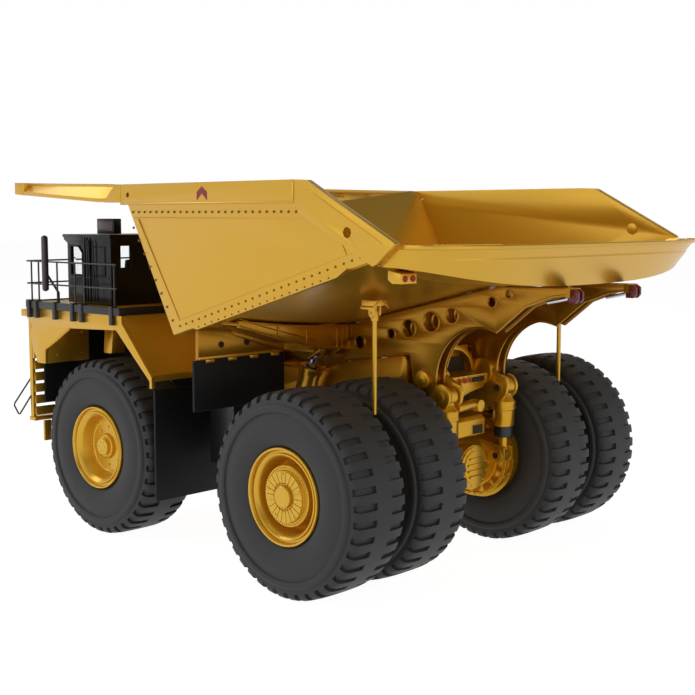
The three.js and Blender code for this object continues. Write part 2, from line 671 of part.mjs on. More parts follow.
function bedFloor() {
  const stationsY = [BED_FRONT_FOOT[0] + 3, -43, -29.8, 7.3, 34.4, BED_SEAM_Y];
  const rings = [];
  const count = 12;
  for (let i = 0; i <= count; i += 1) {
    const x = BED_INNER_X * (-1 + (2 * i) / count);
    const under = stationsY.map((y) => [x, y, belly(x, y)]);
    const over = stationsY.map((y) => [x, y, belly(x, y) + BED_FLOOR_THICKNESS]).reverse();
    rings.push([...under, ...over]);
  }
  return loft(rings);
}

function bedFrontWall() {
  const [fy, fz] = BED_FRONT_FOOT;
  const top = BED_RAIL_Z[1];
  return sidePlate([
    [fy + 0.4, fz], [fy + 2.6, fz + 0.4], [fy + 2.6, fz + 2], [BED_FRONT_TOP_Y + 6, 150.8],
    [BED_FRONT_TOP_Y + 2, top], [BED_FRONT_TOP_Y, top], [BED_FRONT_TOP_Y, 155.5], [fy - 1.6, fz + 1.4],
  ], [-BED_INNER_X, BED_INNER_X]);
}

// The side with its top rail, the slanted band down to the tail and the strip along its foot.
function bedSide() {
  const railEnd = 15.5;
  const plate = sidePlate([
    [BED_FRONT_TOP_Y, 156], [BED_FRONT_TOP_Y + 3, 150.8],
    BED_FRONT_FOOT, [BED_SEAM_Y, sideBottom(BED_SEAM_Y)],
    [50, 129.5], [TAIL_CORNER_Y, TAIL_LIP_Z + 0.5], [railEnd, 158.7], [8.6, 159], [BED_FRONT_TOP_Y, 159],
  ], [BED_HALF_WIDTH - BED_SIDE_PLATE, BED_HALF_WIDTH], [[36, 140.1, 2]]);
  const outer = [BED_HALF_WIDTH - 0.4, BED_RAIL_X];
  const rail = sidePlate([
    [BED_FRONT_TOP_Y, BED_RAIL_Z[0]], [8.6, BED_RAIL_Z[0]], [railEnd, BED_RAIL_Z[0]], [railEnd, 158.7],
    [8.6, 159], [BED_FRONT_TOP_Y, 159],
  ], outer);
  const band = sidePlate([
    [railEnd - 4, 158.9], [railEnd - 4, 147], [48, 128.6], [50, 129.5], [TAIL_CORNER_Y, TAIL_LIP_Z + 0.5],
    [railEnd, 158.7],
  ], outer, [[36, 140.1, 2]]);
  const strip = sidePlate([
    [-50, sideBottom(-50) + 0.2], [36, sideBottom(36) + 0.2],
    [31, sideBottom(31) - 1.6], [-46, sideBottom(-46) - 1.6],
  ], outer);
  return join(plate, rail, band, strip);
}

// Plan curve of the tail lip.
function lipY(x) {
  const share = Math.min(1, Math.abs(x) / TAIL_HALF_WIDTH);
  return TAIL_CORNER_Y + TAIL_DEPTH * Math.sqrt(1 - share ** 4);
}

// Height of the tail's underside along the middle, straight from the seam to its foot.
function tailKeel(y) {
  const foot = lipY(0) - TAIL_FOOT_BACK;
  const share = Math.min(1, (y - BED_SEAM_Y) / (foot - BED_SEAM_Y));
  return keel(BED_SEAM_Y) + (keel(foot) - keel(BED_SEAM_Y)) * share;
}

// The duck tail: the floor turns up to a lip that is rounded in plan.
function bedTail() {
  const rings = [];
  const count = 16;
  const t = BED_FLOOR_THICKNESS;
  const seam = BED_SEAM_Y + FIT_GAP;
  for (let i = 0; i <= count; i += 1) {
    const x = BED_INNER_X * Math.sin((Math.PI / 2) * (-1 + (2 * i) / count));
    const lip = lipY(x);
    const share = (Math.abs(x) / BED_HALF_WIDTH) ** 2.2;
    const foot = lip - TAIL_FOOT_BACK;
    const footZ = keel(foot) + (129.5 - keel(foot)) * share;
    rings.push([
      [x, seam, belly(x, seam)],
      [x, foot, footZ],
      [x, lip, TAIL_LIP_Z - 1.6],
      [x, lip, TAIL_LIP_Z],
      [x, lip - 2.4, TAIL_LIP_Z],
      [x, foot - 2, footZ + t],
      [x, seam, belly(x, seam) + t],
    ]);
  }
  return loft(rings);
}

// The roof over the deck, with deep side flanges and a gusset at the bed.
function canopy() {
  const rear = BED_FRONT_TOP_Y - FIT_GAP;
  const sheet = sidePlate([
    [CANOPY_TIP_Y, CANOPY_TIP_Z[1] - 2.6], [CANOPY_TIP_Y, CANOPY_TIP_Z[1]], [rear, BED_RAIL_Z[1]],
    [rear, BED_RAIL_Z[1] - 2.6],
  ], [-BED_RAIL_X, BED_RAIL_X]);
  const flange = sidePlate([
    [CANOPY_TIP_Y, CANOPY_TIP_Z[0]], [CANOPY_TIP_Y, CANOPY_TIP_Z[1]], [rear, BED_RAIL_Z[1]], [rear, 151.6],
    [-112, 151.6],
  ], [BED_HALF_WIDTH - 2, BED_RAIL_X]);
  const nose = block([-BED_RAIL_X, BED_RAIL_X], [CANOPY_TIP_Y, CANOPY_TIP_Y + 1.6], CANOPY_TIP_Z);
  const rearBeam = block([-BED_HALF_WIDTH, BED_HALF_WIDTH], [rear - 2, rear], [151.6, BED_RAIL_Z[1] - 1]);
  const ribs = [-60, -20, 20, 60].map((x) => sidePlate([
    [CANOPY_TIP_Y, CANOPY_TIP_Z[0] + 1], [CANOPY_TIP_Y, CANOPY_TIP_Z[1] - 1],
    [rear, BED_RAIL_Z[1] - 1], [rear, 152],
  ], [x - 0.8, x + 0.8]));
  return join(sheet, flange, mirrored(flange), nose, rearBeam, ...ribs);
}

// A two-web beam that carries the floor on the frame and hangs on the tipping pin.
function stringer() {
  const [py, pz] = BED_PIVOT;
  const seat = (y) => railTop(y) + FIT_GAP + 0.4;
  const clear = 0.35;
  const under = (y) => (y > BED_SEAM_Y ? tailKeel(y) : keel(y));
  const top = [79, 48, 34.4, 7.3, -29.8, -43, -50].map((y) => [y, under(y) - clear]);
  const arch = [];
  for (let i = 0; i <= 7; i += 1) {
    const turn = Math.PI * (1 - (i / 7) * 0.62);
    arch.push([39 + 22.4 * Math.cos(turn), 79.4 + 22.8 * Math.sin(turn)]);
  }
  const around = [];
  for (let i = 1; i <= 5; i += 1) {
    const turn = Math.PI * (1 + i / 6.4);
    around.push([py + 6.6 * Math.cos(turn), pz + 6.6 * Math.sin(turn)]);
  }
  const web = [
    ...top,
    [-50, seat(-50) + 6],
    [RAIL_TOP_MID[0] - RAIL_RAMP - 0.3, RAIL_TOP_FRONT_Z + 1],
    [RAIL_TOP_MID[0], seat(RAIL_TOP_MID[0])],
    [RAIL_END_Y + 0.6, seat(RAIL_END_Y)],
    [RAIL_END_Y + 1.9, pz + 3],
    ...around,
    [16.4, 76.6],
    ...arch,
    [60, 111.4],
    [71.5, 115.7],
    [79, 117],
  ];
  const holes = [
    [-25.5, 92.2, 2.8], [-7.7, 96.9, 2.1], [2, 99.8, 3.6], [13.9, 103.2, 4.1], [24.6, 106.3, 3.1],
    [44.3, 112.6, 2], [52.4, 116.1, 1.6], [py, pz, BED_PIN_RADIUS + FIT_GAP],
  ];
  const webs = STRINGER_WEBS.map((x) => sidePlate(web, x, holes));
  const across = [STRINGER_WEBS[0][0], STRINGER_WEBS[1][1]];
  const rib = block(across, [34, 36], [105.5, keel(35) - 1]);
  const endPlate = block([across[0] - 0.4, across[1] + 0.4], [78, 80], [115.8, keel(79) - clear]);
  const foot = block(across, [-50, -48], [86, keel(-50) - 1]);
  const capY = [-20, -18];
  const diaphragm = block(across, capY, [92, keel(-20) - 1]);
  return join(...webs, rib, endPlate, foot, diaphragm);
}

// The cross-beam outside a stringer, with the lugs and pin of the hoist.
function bolster() {
  const x0 = STRINGER_WEBS[1][1] + FIT_GAP;
  const clear = 0.6;
  const panel = ([y0, y1], stations, low) => frontPlate([
    ...stations.map((x) => [x, Math.min(belly(x, y0), belly(x, y1)) - clear]).reverse(),
    ...low,
  ], [y0, y1]);
  const front = panel([-51, -49.4], [x0, 45, 60, 74], [[x0, 88], [44, 88], [74, 97]]);
  const rear = panel([-33, -31.4], [x0, 45, 60, 74, 87], [[x0, 89], [44, 90.5], [87, 102]]);
  const tie = block([44, 45.6], [-50, -32], [89, 96]);
  const lugShape = [[-50.5, 88], [-44.5, 85.4], [-39.5, 85.4], [-32, 89.5], [-32, 97], [-50.5, 95.5]];
  const lugX = HOIST_X - HOIST_LUG_GAP;
  const farLugX = HOIST_X + HOIST_LUG_GAP;
  const lugs = [[lugX - 1.6, lugX], [farLugX, farLugX + 1.6]].map((x) => sidePlate(lugShape, x));
  const guardTop = [44, 54, 63, 72, 80, 86, 92].map((x) => [x, belly(x, -52) - clear]).reverse();
  const guard = frontPlate([...guardTop, [44, 88], [92, 88]], [-52.6, -50.8]);
  return join(front, rear, tie, ...lugs, guard);
}

function guardFlap() {
  return block([44, 94], [-52.4, -51.2], [67, 88 - FIT_GAP]);
}

function rockEjector() {
  const x = (REAR_OUTER_X + REAR_INNER_X) / 2;
  const y = 18;
  const top = belly(x - 4, y - 3) - 0.5;
  const rod = pinZ(x, y, [70.3, top - 1], 1, 8);
  const hanger = block([x - 4, x + 4], [y - 3, y + 3], [top - 2, top]);
  return join(rod, hanger);
}

// ---------------------------------------------------------------- hoists

// Both parts are drawn along +Z from the lower pin and leaned to the upper one.
function hoistEye(z, half, pinRadius) {
  const eye = pinX([-half, half], 0, z, HOIST_EYE_RADIUS, 14);
  return cut(eye, pinX([-half - 1, half + 1], 0, z, pinRadius + FIT_GAP, 12));
}

function hoistBarrel() {
  const tube = pinZ(0, 0, [2.6, HOIST_BARREL_LENGTH], HOIST_BARREL_RADIUS, 16);
  const glandZ = [HOIST_BARREL_LENGTH - 3, HOIST_BARREL_LENGTH];
  const gland = pinZ(0, 0, glandZ, HOIST_BARREL_RADIUS + HOIST_GLAND, 16);
  const bore = pinZ(0, 0, [6, HOIST_BARREL_LENGTH + 1], HOIST_ROD_RADIUS + FIT_GAP, 16);
  const eyeHole = pinX([-6, 6], 0, 0, HOIST_PIN_RADIUS + FIT_GAP, 12);
  return cut(join(hoistEye(0, 3, HOIST_PIN_RADIUS), tube, gland), bore, eyeHole);
}

function hoistLength() {
  return Math.hypot(HOIST_TOP[0] - HOIST_LOW[0], HOIST_TOP[1] - HOIST_LOW[1]);
}

// The rod's pin is part of the rod and sits between the lugs on the bed.
function hoistRod() {
  const length = hoistLength();
  const rod = pinZ(0, 0, [HOIST_BARREL_LENGTH - 45, length - 2.4], HOIST_ROD_RADIUS, 14);
  const eye = pinX([-3, 3], 0, length, HOIST_EYE_RADIUS, 14);
  const half = HOIST_LUG_GAP - FIT_GAP;
  return join(eye, rod, pinX([-half, half], 0, length, HOIST_PIN_RADIUS));
}

// ---------------------------------------------------------------- assembly

const truck = new THREE.Group();

piece(truck, 'frame_rails', frameRails(), YELLOW);
piece(truck, 'rear_horn', rearHorn(), YELLOW);
pair(truck, 'rear_strut', strut(), YELLOW);
piece(truck, 'rear_axle_housing', rearAxle(), YELLOW);
piece(truck, 'front_axle', frontAxle(), YELLOW);
piece(truck, 'engine_block', engineBlock(), DARK_METAL);
piece(truck, 'radiator', radiator(), BLACK);
piece(truck, 'bumper', bumper(), YELLOW);
piece(truck, 'fuel_tank', fuelTank(), YELLOW);
piece(truck, 'hydraulic_tank', mirrored(fuelTank()), YELLOW);
piece(truck, 'deck', deck(), YELLOW);
pair(truck, 'fender', fender(), YELLOW);
pair(truck, 'front_flap', frontFlap(), RUBBER);
pair(truck, 'wheel_flap', wheelFlap(), RUBBER);
piece(truck, 'ladder_left', ladder(true), YELLOW);
piece(truck, 'ladder_right', mirrored(ladder(false)), YELLOW);
piece(truck, 'cab_shell', cabShell(), BLACK);
piece(truck, 'cab_glass', cabGlass(), CLEAR);
piece(truck, 'cab_seat', cabSeat(), SEAT);
piece(truck, 'roof_sign', roofSign(), BLACK);
piece(truck, 'control_cabinet', controlCabinet(), YELLOW);
piece(truck, 'handrail_left', leftHandrail(), BLACK);
piece(truck, 'handrail_right', rightHandrail(), BLACK);
pair(truck, 'mirror', mirrorArm(), BLACK);

// Wheels: each side's group stands at its axle's end.
const frontEnds = new THREE.Group();
frontEnds.position.set(0, FRONT_Y, AXLE_Z);
truck.add(frontEnds);
pair(frontEnds, 'knuckle', knuckle(), DARK_METAL);
pair(frontEnds, 'front_tyre', tyre(FRONT_TYRE_X), RUBBER);
pair(frontEnds, 'front_rim', frontRim(FRONT_TYRE_X), YELLOW);

const rearEnds = new THREE.Group();
rearEnds.position.set(0, 0, AXLE_Z);
truck.add(rearEnds);
pair(rearEnds, 'rear_outer_tyre', tyre(REAR_OUTER_X), RUBBER);
pair(rearEnds, 'rear_inner_tyre', tyre(REAR_INNER_X), RUBBER);
pair(rearEnds, 'rear_hub', rearHub(), YELLOW);

const bed = new THREE.Group();
truck.add(bed);
piece(bed, 'bed_floor', bedFloor(), YELLOW);
piece(bed, 'bed_front_wall', bedFrontWall(), YELLOW);
pair(bed, 'bed_side', bedSide(), YELLOW);
piece(bed, 'bed_tail', bedTail(), YELLOW);
piece(bed, 'canopy', canopy(), YELLOW);
pair(bed, 'stringer', stringer(), YELLOW);
pair(bed, 'bolster', bolster(), YELLOW);
pair(bed, 'guard_flap', guardFlap(), RUBBER);
pair(bed, 'rock_ejector', rockEjector(), YELLOW);

// Each hoist leans from its pin on the frame to its pin on the bed.
const lean = Math.atan2(HOIST_TOP[0] - HOIST_LOW[0], HOIST_TOP[1] - HOIST_LOW[1]);
for (const [side, x] of [['left', HOIST_X], ['right', -HOIST_X]]) {
  const hoist = new THREE.Group();
  hoist.position.set(x, HOIST_LOW[0], HOIST_LOW[1]);
  hoist.rotation.x = -lean;
  truck.add(hoist);
  piece(hoist, `hoist_barrel_${side}`, hoistBarrel(), YELLOW);
  piece(hoist, `hoist_rod_${side}`, hoistRod(), BRIGHT);
}

// Stand the model over the middle of its own length.
const footprint = new THREE.Box3().setFromObject(truck);
truck.position.y = -(footprint.min.y + footprint.max.y) / 2;

export default truck;
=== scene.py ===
import json
import math

import bmesh
import bpy
import numpy as np
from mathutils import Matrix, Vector


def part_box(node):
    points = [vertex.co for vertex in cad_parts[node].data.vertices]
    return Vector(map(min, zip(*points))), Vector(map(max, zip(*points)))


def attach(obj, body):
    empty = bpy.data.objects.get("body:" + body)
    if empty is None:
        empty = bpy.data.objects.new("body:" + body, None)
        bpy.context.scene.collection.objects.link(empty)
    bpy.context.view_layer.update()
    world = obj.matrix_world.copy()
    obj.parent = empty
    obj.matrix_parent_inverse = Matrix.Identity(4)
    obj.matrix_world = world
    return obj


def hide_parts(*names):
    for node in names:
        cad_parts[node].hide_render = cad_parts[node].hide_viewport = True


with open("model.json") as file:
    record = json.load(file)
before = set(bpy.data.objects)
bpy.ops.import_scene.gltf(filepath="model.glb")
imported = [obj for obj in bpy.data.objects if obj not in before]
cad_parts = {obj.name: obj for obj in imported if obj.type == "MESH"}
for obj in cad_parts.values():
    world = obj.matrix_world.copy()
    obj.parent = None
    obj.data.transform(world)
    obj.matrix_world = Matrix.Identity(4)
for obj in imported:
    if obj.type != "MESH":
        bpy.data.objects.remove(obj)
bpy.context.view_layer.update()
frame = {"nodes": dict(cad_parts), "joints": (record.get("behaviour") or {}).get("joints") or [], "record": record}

MM = 0.001


# ---------------------------------------------------------------- viewpoint, floor and light
# The model stands on a white studio table that runs up into a white wall, seen from
# behind its left rear wheels, a little above the tyres, in broad soft light.

def joint_point(name):
    """The place of a joint, in millimetres."""
    joint = next(j for j in frame["joints"] if j["name"] == name)
    return [v / MM for v in joint["pos_m"]]


REAR_Y = joint_point("spin_rear_left")[1]
FRONT_Y = joint_point("spin_front_left")[1]
AXLE_Z = joint_point("spin_rear_left")[2]

scene = bpy.context.scene
scene.view_settings.view_transform = "Standard"

camera_data = bpy.data.cameras.new("camera")
camera_data.lens = 63.42
camera_data.sensor_width = 36.0
camera_data.clip_start = 0.01
camera_data.clip_end = 20.0
camera = bpy.data.objects.new("camera", camera_data)
scene.collection.objects.link(camera)
camera.location = Vector((405.7, 330.05 + REAR_Y, 145.66)) * MM
camera_line = Vector((-0.7209, -0.6849, -0.1064))
camera.rotation_euler = camera_line.to_track_quat("-Z", "Y").to_euler()
scene.camera = camera


def soft_box(name, place, size, power, target=(0.0, 0.0, 0.09)):
    """A rectangular studio lamp that faces the model."""
    data = bpy.data.lights.new(name, "AREA")
    data.shape = "RECTANGLE"
    data.size = size[0]
    data.size_y = size[1]
    data.energy = power
    light = bpy.data.objects.new(name, data)
    scene.collection.objects.link(light)
    light.location = place
    toward = Vector(target) - Vector(place)
    light.rotation_euler = toward.to_track_quat("-Z", "Y").to_euler()


soft_box("top_box", (0.10, 0.10, 1.20), (0.8, 0.8), 1.6)
soft_box("left_box", (1.15, -0.15, 0.62), (1.2, 1.0), 2.7)
soft_box("tail_box", (0.20, 1.20, 0.60), (1.0, 1.0), 1.8)
soft_box("front_box", (0.36, -0.86, 0.82), (0.7, 0.5), 3.0)


def lit_or_shown(tree, lit, shown):
    """Mixes two shaders: the first for lighting, the second for what is seen or mirrored."""
    rays = tree.nodes.new("ShaderNodeLightPath")
    mix = tree.nodes.new("ShaderNodeMixShader")
    seen = rays.outputs["Is Camera Ray"]
    for kind in ("Is Glossy Ray", "Is Transmission Ray"):
        either = tree.nodes.new("ShaderNodeMath")
        either.operation = "MAXIMUM"
        tree.links.new(seen, either.inputs[0])
        tree.links.new(rays.outputs[kind], either.inputs[1])
        seen = either.outputs[0]
    tree.links.new(seen, mix.inputs["Fac"])
    tree.links.new(lit.outputs[0], mix.inputs[1])
    tree.links.new(shown.outputs[0], mix.inputs[2])
    return mix


def studio_air():
    """A white surround that lights the model gently."""
    world = bpy.data.worlds.new("studio")
    scene.world = world
    world.use_nodes = True
    tree = world.node_tree
    place = tree.nodes.new("ShaderNodeTexCoord")
    height = tree.nodes.new("ShaderNodeSeparateXYZ")
    tree.links.new(place.outputs["Generated"], height.inputs[0])
    fall = tree.nodes.new("ShaderNodeMapRange")
    fall.interpolation_type = "SMOOTHSTEP"
    fall.inputs["From Min"].default_value = 0.02
    fall.inputs["From Max"].default_value = 0.70
    fall.inputs["To Min"].default_value = 1.0
    fall.inputs["To Max"].default_value = 0.12
    tree.links.new(height.outputs["Z"], fall.inputs["Value"])
    lit = tree.nodes["Background"]
    lit.inputs["Color"].default_value = (1.0, 1.0, 1.0, 1.0)
    dim = tree.nodes.new("ShaderNodeMath")
    dim.operation = "MULTIPLY"
    dim.inputs[1].default_value = 0.28
    tree.links.new(fall.outputs["Result"], dim.inputs[0])
    tree.links.new(dim.outputs[0], lit.inputs["Strength"])
    shown = tree.nodes.new("ShaderNodeBackground")
    shown.inputs["Color"].default_value = (1.0, 1.0, 1.0, 1.0)
    rays = tree.nodes.new("ShaderNodeLightPath")
    mirrored = tree.nodes.new("ShaderNodeMix")
    mirrored.inputs[2].default_value = 1.0
    tree.links.new(rays.outputs["Is Glossy Ray"], mirrored.inputs[0])
    tree.links.new(fall.outputs["Result"], mirrored.inputs[3])
    tree.links.new(mirrored.outputs[0], shown.inputs["Strength"])
    mix = lit_or_shown(tree, lit, shown)
    tree.links.new(mix.outputs[0], tree.nodes["World Output"].inputs["Surface"])


def studio_floor():
    """A white table: it glows white where it is seen, and the model's shadow still dims it."""
    reach = 6.0
    mesh = bpy.data.meshes.new("studio_floor")
    mesh.from_pydata([(-reach, -reach, 0), (reach, -reach, 0), (reach, reach, 0), (-reach, reach, 0)],
                     [], [(0, 1, 2, 3)])
    floor = bpy.data.objects.new("studio_floor", mesh)
    scene.collection.objects.link(floor)
    floor.location.z = -0.4 * MM
    material = bpy.data.materials.new("studio_table")
    material.use_nodes = True
    tree = material.node_tree
    tree.nodes.clear()
    lit = tree.nodes.new("ShaderNodeBsdfDiffuse")
    lit.inputs["Color"].default_value = (0.62, 0.62, 0.62, 1.0)
    glow = tree.nodes.new("ShaderNodeEmission")
    glow.inputs["Color"].default_value = (1.0, 1.0, 1.0, 1.0)
    glow.inputs["Strength"].default_value = 0.96
    sheen = tree.nodes.new("ShaderNodeBsdfDiffuse")
    sheen.inputs["Color"].default_value = (0.3, 0.3, 0.3, 1.0)
    shown = tree.nodes.new("ShaderNodeAddShader")
    tree.links.new(glow.outputs[0], shown.inputs[0])
    tree.links.new(sheen.outputs[0], shown.inputs[1])
    mix = lit_or_shown(tree, lit, shown)
    output = tree.nodes.new("ShaderNodeOutputMaterial")
    tree.links.new(mix.outputs[0], output.inputs["Surface"])
    mesh.materials.append(material)


studio_air()
studio_floor()


# ---------------------------------------------------------------- frame, tanks and bumper
# The frame rails, tanks, cross beam and bumper are castings with rounded corners. They are
# sprayed with warm yellow enamel, glossy, with a faint orange peel, whose tone drifts a little
# from place to place. The frame rails and axle take a darker copy of it, painted shade for the
# dim space inside the frame, and the tanks are painted black, as dark as the space behind the front flaps.

def group_with(name, inputs, outputs):
    """A shader node group with the named float inputs and typed outputs."""
    group = bpy.data.node_groups.new(name, "ShaderNodeTree")
    for label, value in inputs:
        kind = "NodeSocketColor" if isinstance(value, tuple) else "NodeSocketFloat"
        socket = group.interface.new_socket(label, in_out="INPUT", socket_type=kind)
        socket.default_value = value
    for label, kind in outputs:
        group.interface.new_socket(label, in_out="OUTPUT", socket_type=kind)
    entry = group.nodes.new("NodeGroupInput")
    leave = group.nodes.new("NodeGroupOutput")
    return group, entry, leave


def noise_node(tree, scale, detail=3.0, roughness=0.5):
    node = tree.nodes.new("ShaderNodeTexNoise")
    node.inputs["Scale"].default_value = scale
    node.inputs["Detail"].default_value = detail
    node.inputs["Roughness"].default_value = roughness
    place = tree.nodes.new("ShaderNodeTexCoord")
    tree.links.new(place.outputs["Object"], node.inputs["Vector"])
    return node


def math_node(tree, operation, first, second):
    node = tree.nodes.new("ShaderNodeMath")
    node.operation = operation
    for socket, value in ((node.inputs[0], first), (node.inputs[1], second)):
        if isinstance(value, (int, float)):
            socket.default_value = value
        else:
            tree.links.new(value, socket)
    return node.outputs[0]


def paint_film_group():
    """Colour that drifts a little, and a fine uneven surface: sprayed paint on a casting."""
    group, entry, leave = group_with(
        "paint_film",
        [("Color", (0.8, 0.5, 0.1, 1.0)), ("Drift", 0.06), ("Peel", 0.12), ("Roughness", 0.3)],
        [("Color", "NodeSocketColor"), ("Roughness", "NodeSocketFloat"),
         ("Normal", "NodeSocketVector")])
    broad = noise_node(group, 22.0)
    fine = noise_node(group, 1500.0, 2.0)
    shift = math_node(group, "MULTIPLY", math_node(group, "SUBTRACT", broad.outputs["Fac"], 0.5),
                      entry.outputs["Drift"])
    value = math_node(group, "ADD", shift, 1.0)
    tone = group.nodes.new("ShaderNodeHueSaturation")
    group.links.new(value, tone.inputs["Value"])
    group.links.new(entry.outputs["Color"], tone.inputs["Color"])
    group.links.new(tone.outputs["Color"], leave.inputs["Color"])
    rough = math_node(group, "ADD", entry.outputs["Roughness"],
                      math_node(group, "MULTIPLY", shift, 0.8))
    group.links.new(rough, leave.inputs["Roughness"])
    bump = group.nodes.new("ShaderNodeBump")
    bump.inputs["Distance"].default_value = 0.00006
    group.links.new(entry.outputs["Peel"], bump.inputs["Strength"])
    group.links.new(fine.outputs["Fac"], bump.inputs["Height"])
    group.links.new(bump.outputs["Normal"], leave.inputs["Normal"])
    return group


paint_film = paint_film_group()


def coated(name, color, roughness, drift=0.06, peel=0.12, coat=0.0, metallic=0.0):
    """A painted or moulded finish carried by the paint film group."""
    material = bpy.data.materials.new(name)
    material.use_nodes = True
    tree = material.node_tree
    shader = tree.nodes["Principled BSDF"]
    film = tree.nodes.new("ShaderNodeGroup")
    film.node_tree = paint_film
    film.inputs["Color"].default_value = (*color, 1.0)
    film.inputs["Drift"].default_value = drift
    film.inputs["Peel"].default_value = peel
    film.inputs["Roughness"].default_value = roughness
    tree.links.new(film.outputs["Color"], shader.inputs["Base Color"])
    tree.links.new(film.outputs["Roughness"], shader.inputs["Roughness"])
    tree.links.new(film.outputs["Normal"], shader.inputs["Normal"])
    shader.inputs["Metallic"].default_value = metallic
    shader.inputs["Coat Weight"].default_value = coat
    shader.inputs["Coat Roughness"].default_value = 0.12
    return material


yellow_enamel = coated("yellow_enamel", (0.75, 0.425, 0.032), 0.32, coat=0.15, metallic=0.6)
# A darker, deeper copy of the yellow enamel: painted shade for the frame, webs, bolsters and hoist barrels under
# the bed.
underside_shade_enamel = coated("underside_shade_enamel", (0.44, 0.205, 0.006), 0.30, coat=0.05, metallic=0.7)
black_enamel = coated("black_enamel", (0.012, 0.012, 0.013), 0.42, coat=0.1)

BODY_OF = {}
for body_name, members in frame["record"]["behaviour"]["bodies"].items():
    for member in members:
        BODY_OF[member] = body_name
SIDES = (("left", 1), ("right", -1))


def link_piece(name, mesh, body, material, stands_for=()):
    piece = bpy.data.objects.new(name, mesh)
    scene.collection.objects.link(piece)
    mesh.materials.clear()
    mesh.materials.append(material)
    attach(piece, body)
    if stands_for:
        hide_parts(*stands_for)
    return piece


def soften(mesh, angle=32.0):
    """Smooth shading that stays crisp at real corners."""
    for face in mesh.polygons:
        face.use_smooth = True
    mesh.set_sharp_from_angle(angle=math.radians(angle))
    return mesh


def rounded(bm, width, angle=28.0):
    """Bevels every edge that turns more than the angle."""
    edges = [e for e in bm.edges if len(e.link_faces) == 2 and e.calc_face_angle(0.0) > math.radians(angle)]
    if edges and width > 0:
        bmesh.ops.bevel(bm, geom=edges, offset=width * MM, offset_type="OFFSET", segments=2,
                        profile=0.5, affect="EDGES", clamp_overlap=True)


def recast(node, material, width=0.3, drills=()):
    """A node's own shape with rounded corners, and any small holes drilled through it."""
    bm = bmesh.new()
    bm.from_mesh(frame["nodes"][node].data)
    bmesh.ops.remove_doubles(bm, verts=bm.verts[:], dist=0.002 * MM)
    bmesh.ops.dissolve_limit(bm, angle_limit=math.radians(1.5), verts=bm.verts[:], edges=bm.edges[:])
    rounded(bm, width)
    mesh = bpy.data.meshes.new(node + "_casting")
    bm.to_mesh(mesh)
    bm.free()
    for drill in drills:
        mesh = drilled(mesh, drill)
    return link_piece(node + "_casting", soften(mesh), BODY_OF[node], material,
                      (node,))


def drilled(mesh, shell):
    """The mesh with a closed shell cut out of it."""
    body = bpy.data.objects.new("drilled", mesh)
    tool = bpy.data.objects.new("drill", joined_mesh("drill", [shell]))
    scene.collection.objects.link(body)
    scene.collection.objects.link(tool)
    cut = body.modifiers.new("cut", "BOOLEAN")
    cut.operation = "DIFFERENCE"
    cut.solver = "EXACT"
    cut.object = tool
    result = bpy.data.meshes.new_from_object(body.evaluated_get(bpy.context.evaluated_depsgraph_get()))
    bpy.data.objects.remove(body)
    bpy.data.objects.remove(tool)
    return result


def joined_mesh(name, shells, angle=32.0, bevel=0.0):
    """One mesh from several separate closed shells, each a list of points and faces."""
    verts = []
    faces = []
    for shell_verts, shell_faces in shells:
        base = len(verts)
        verts.extend(tuple(v) for v in shell_verts)
        faces.extend(tuple(base + k for k in face) for face in shell_faces)
    mesh = bpy.data.meshes.new(name)
    mesh.from_pydata(verts, [], faces)
    bm = bmesh.new()
    bm.from_mesh(mesh)
    bmesh.ops.recalc_face_normals(bm, faces=bm.faces[:])
    rounded(bm, bevel)
    bm.to_mesh(mesh)
    bm.free()
    return soften(mesh, angle)


recast("bumper", yellow_enamel)
# The tanks are painted black, as dark as the space behind the front flaps.
for tank in ("fuel_tank", "hydraulic_tank"):
    recast(tank, black_enamel)
# The frame rails and front axle take the darker enamel, painted shade for their place under the bed.
for shaded_casting in ("frame_rails", "front_axle"):
    recast(shaded_casting, underside_shade_enamel)


# ---------------------------------------------------------------- bed sides
# Each side of the bed is one die-cast plate with a deep top rail, a slanted band down to the
# tail and a strip along its foot. Rivets stand in rows under the rail and along both edges.

def extent(node):
    """A node's reach in x, y and z, in millimetres, with y measured from the rear axle."""
    low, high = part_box(node)
    return [(a / MM - shift, b / MM - shift) for a, b, shift in zip(low, high, (0.0, REAR_Y, 0.0))]


def spot(x, y, z):
    """A point in metres, from millimetres measured on the ground under the rear axle."""
    return Vector((x, y + REAR_Y, z)) * MM


def prism(outline, span, axis="x"):
    """An outline pushed along an axis: y and z for x, x and z for y, x and y for z."""
    place = {"x": lambda a, b, c: spot(c, a, b), "y": lambda a, b, c: spot(a, c, b),
             "z": lambda a, b, c: spot(a, b, c)}[axis]
    count = len(outline)
    verts = [place(a, b, c) for c in span for a, b in outline]
    faces = [tuple(range(count)), tuple(range(2 * count - 1, count - 1, -1))]
    for k in range(count):
        n = (k + 1) % count
        faces.append((k, n, count + n, count + k))
    return verts, faces


def band_faces(rings, count, ring_closed=True, turn_closed=False):
    """Faces between each ring of points and the next, for rings of the same count."""
    faces = []
    for i in range(rings if turn_closed else rings - 1):
        j = (i + 1) % rings
        for k in range(count if ring_closed else count - 1):
            n = (k + 1) % count
            faces.append((i * count + k, i * count + n, j * count + n, j * count + k))
    return faces


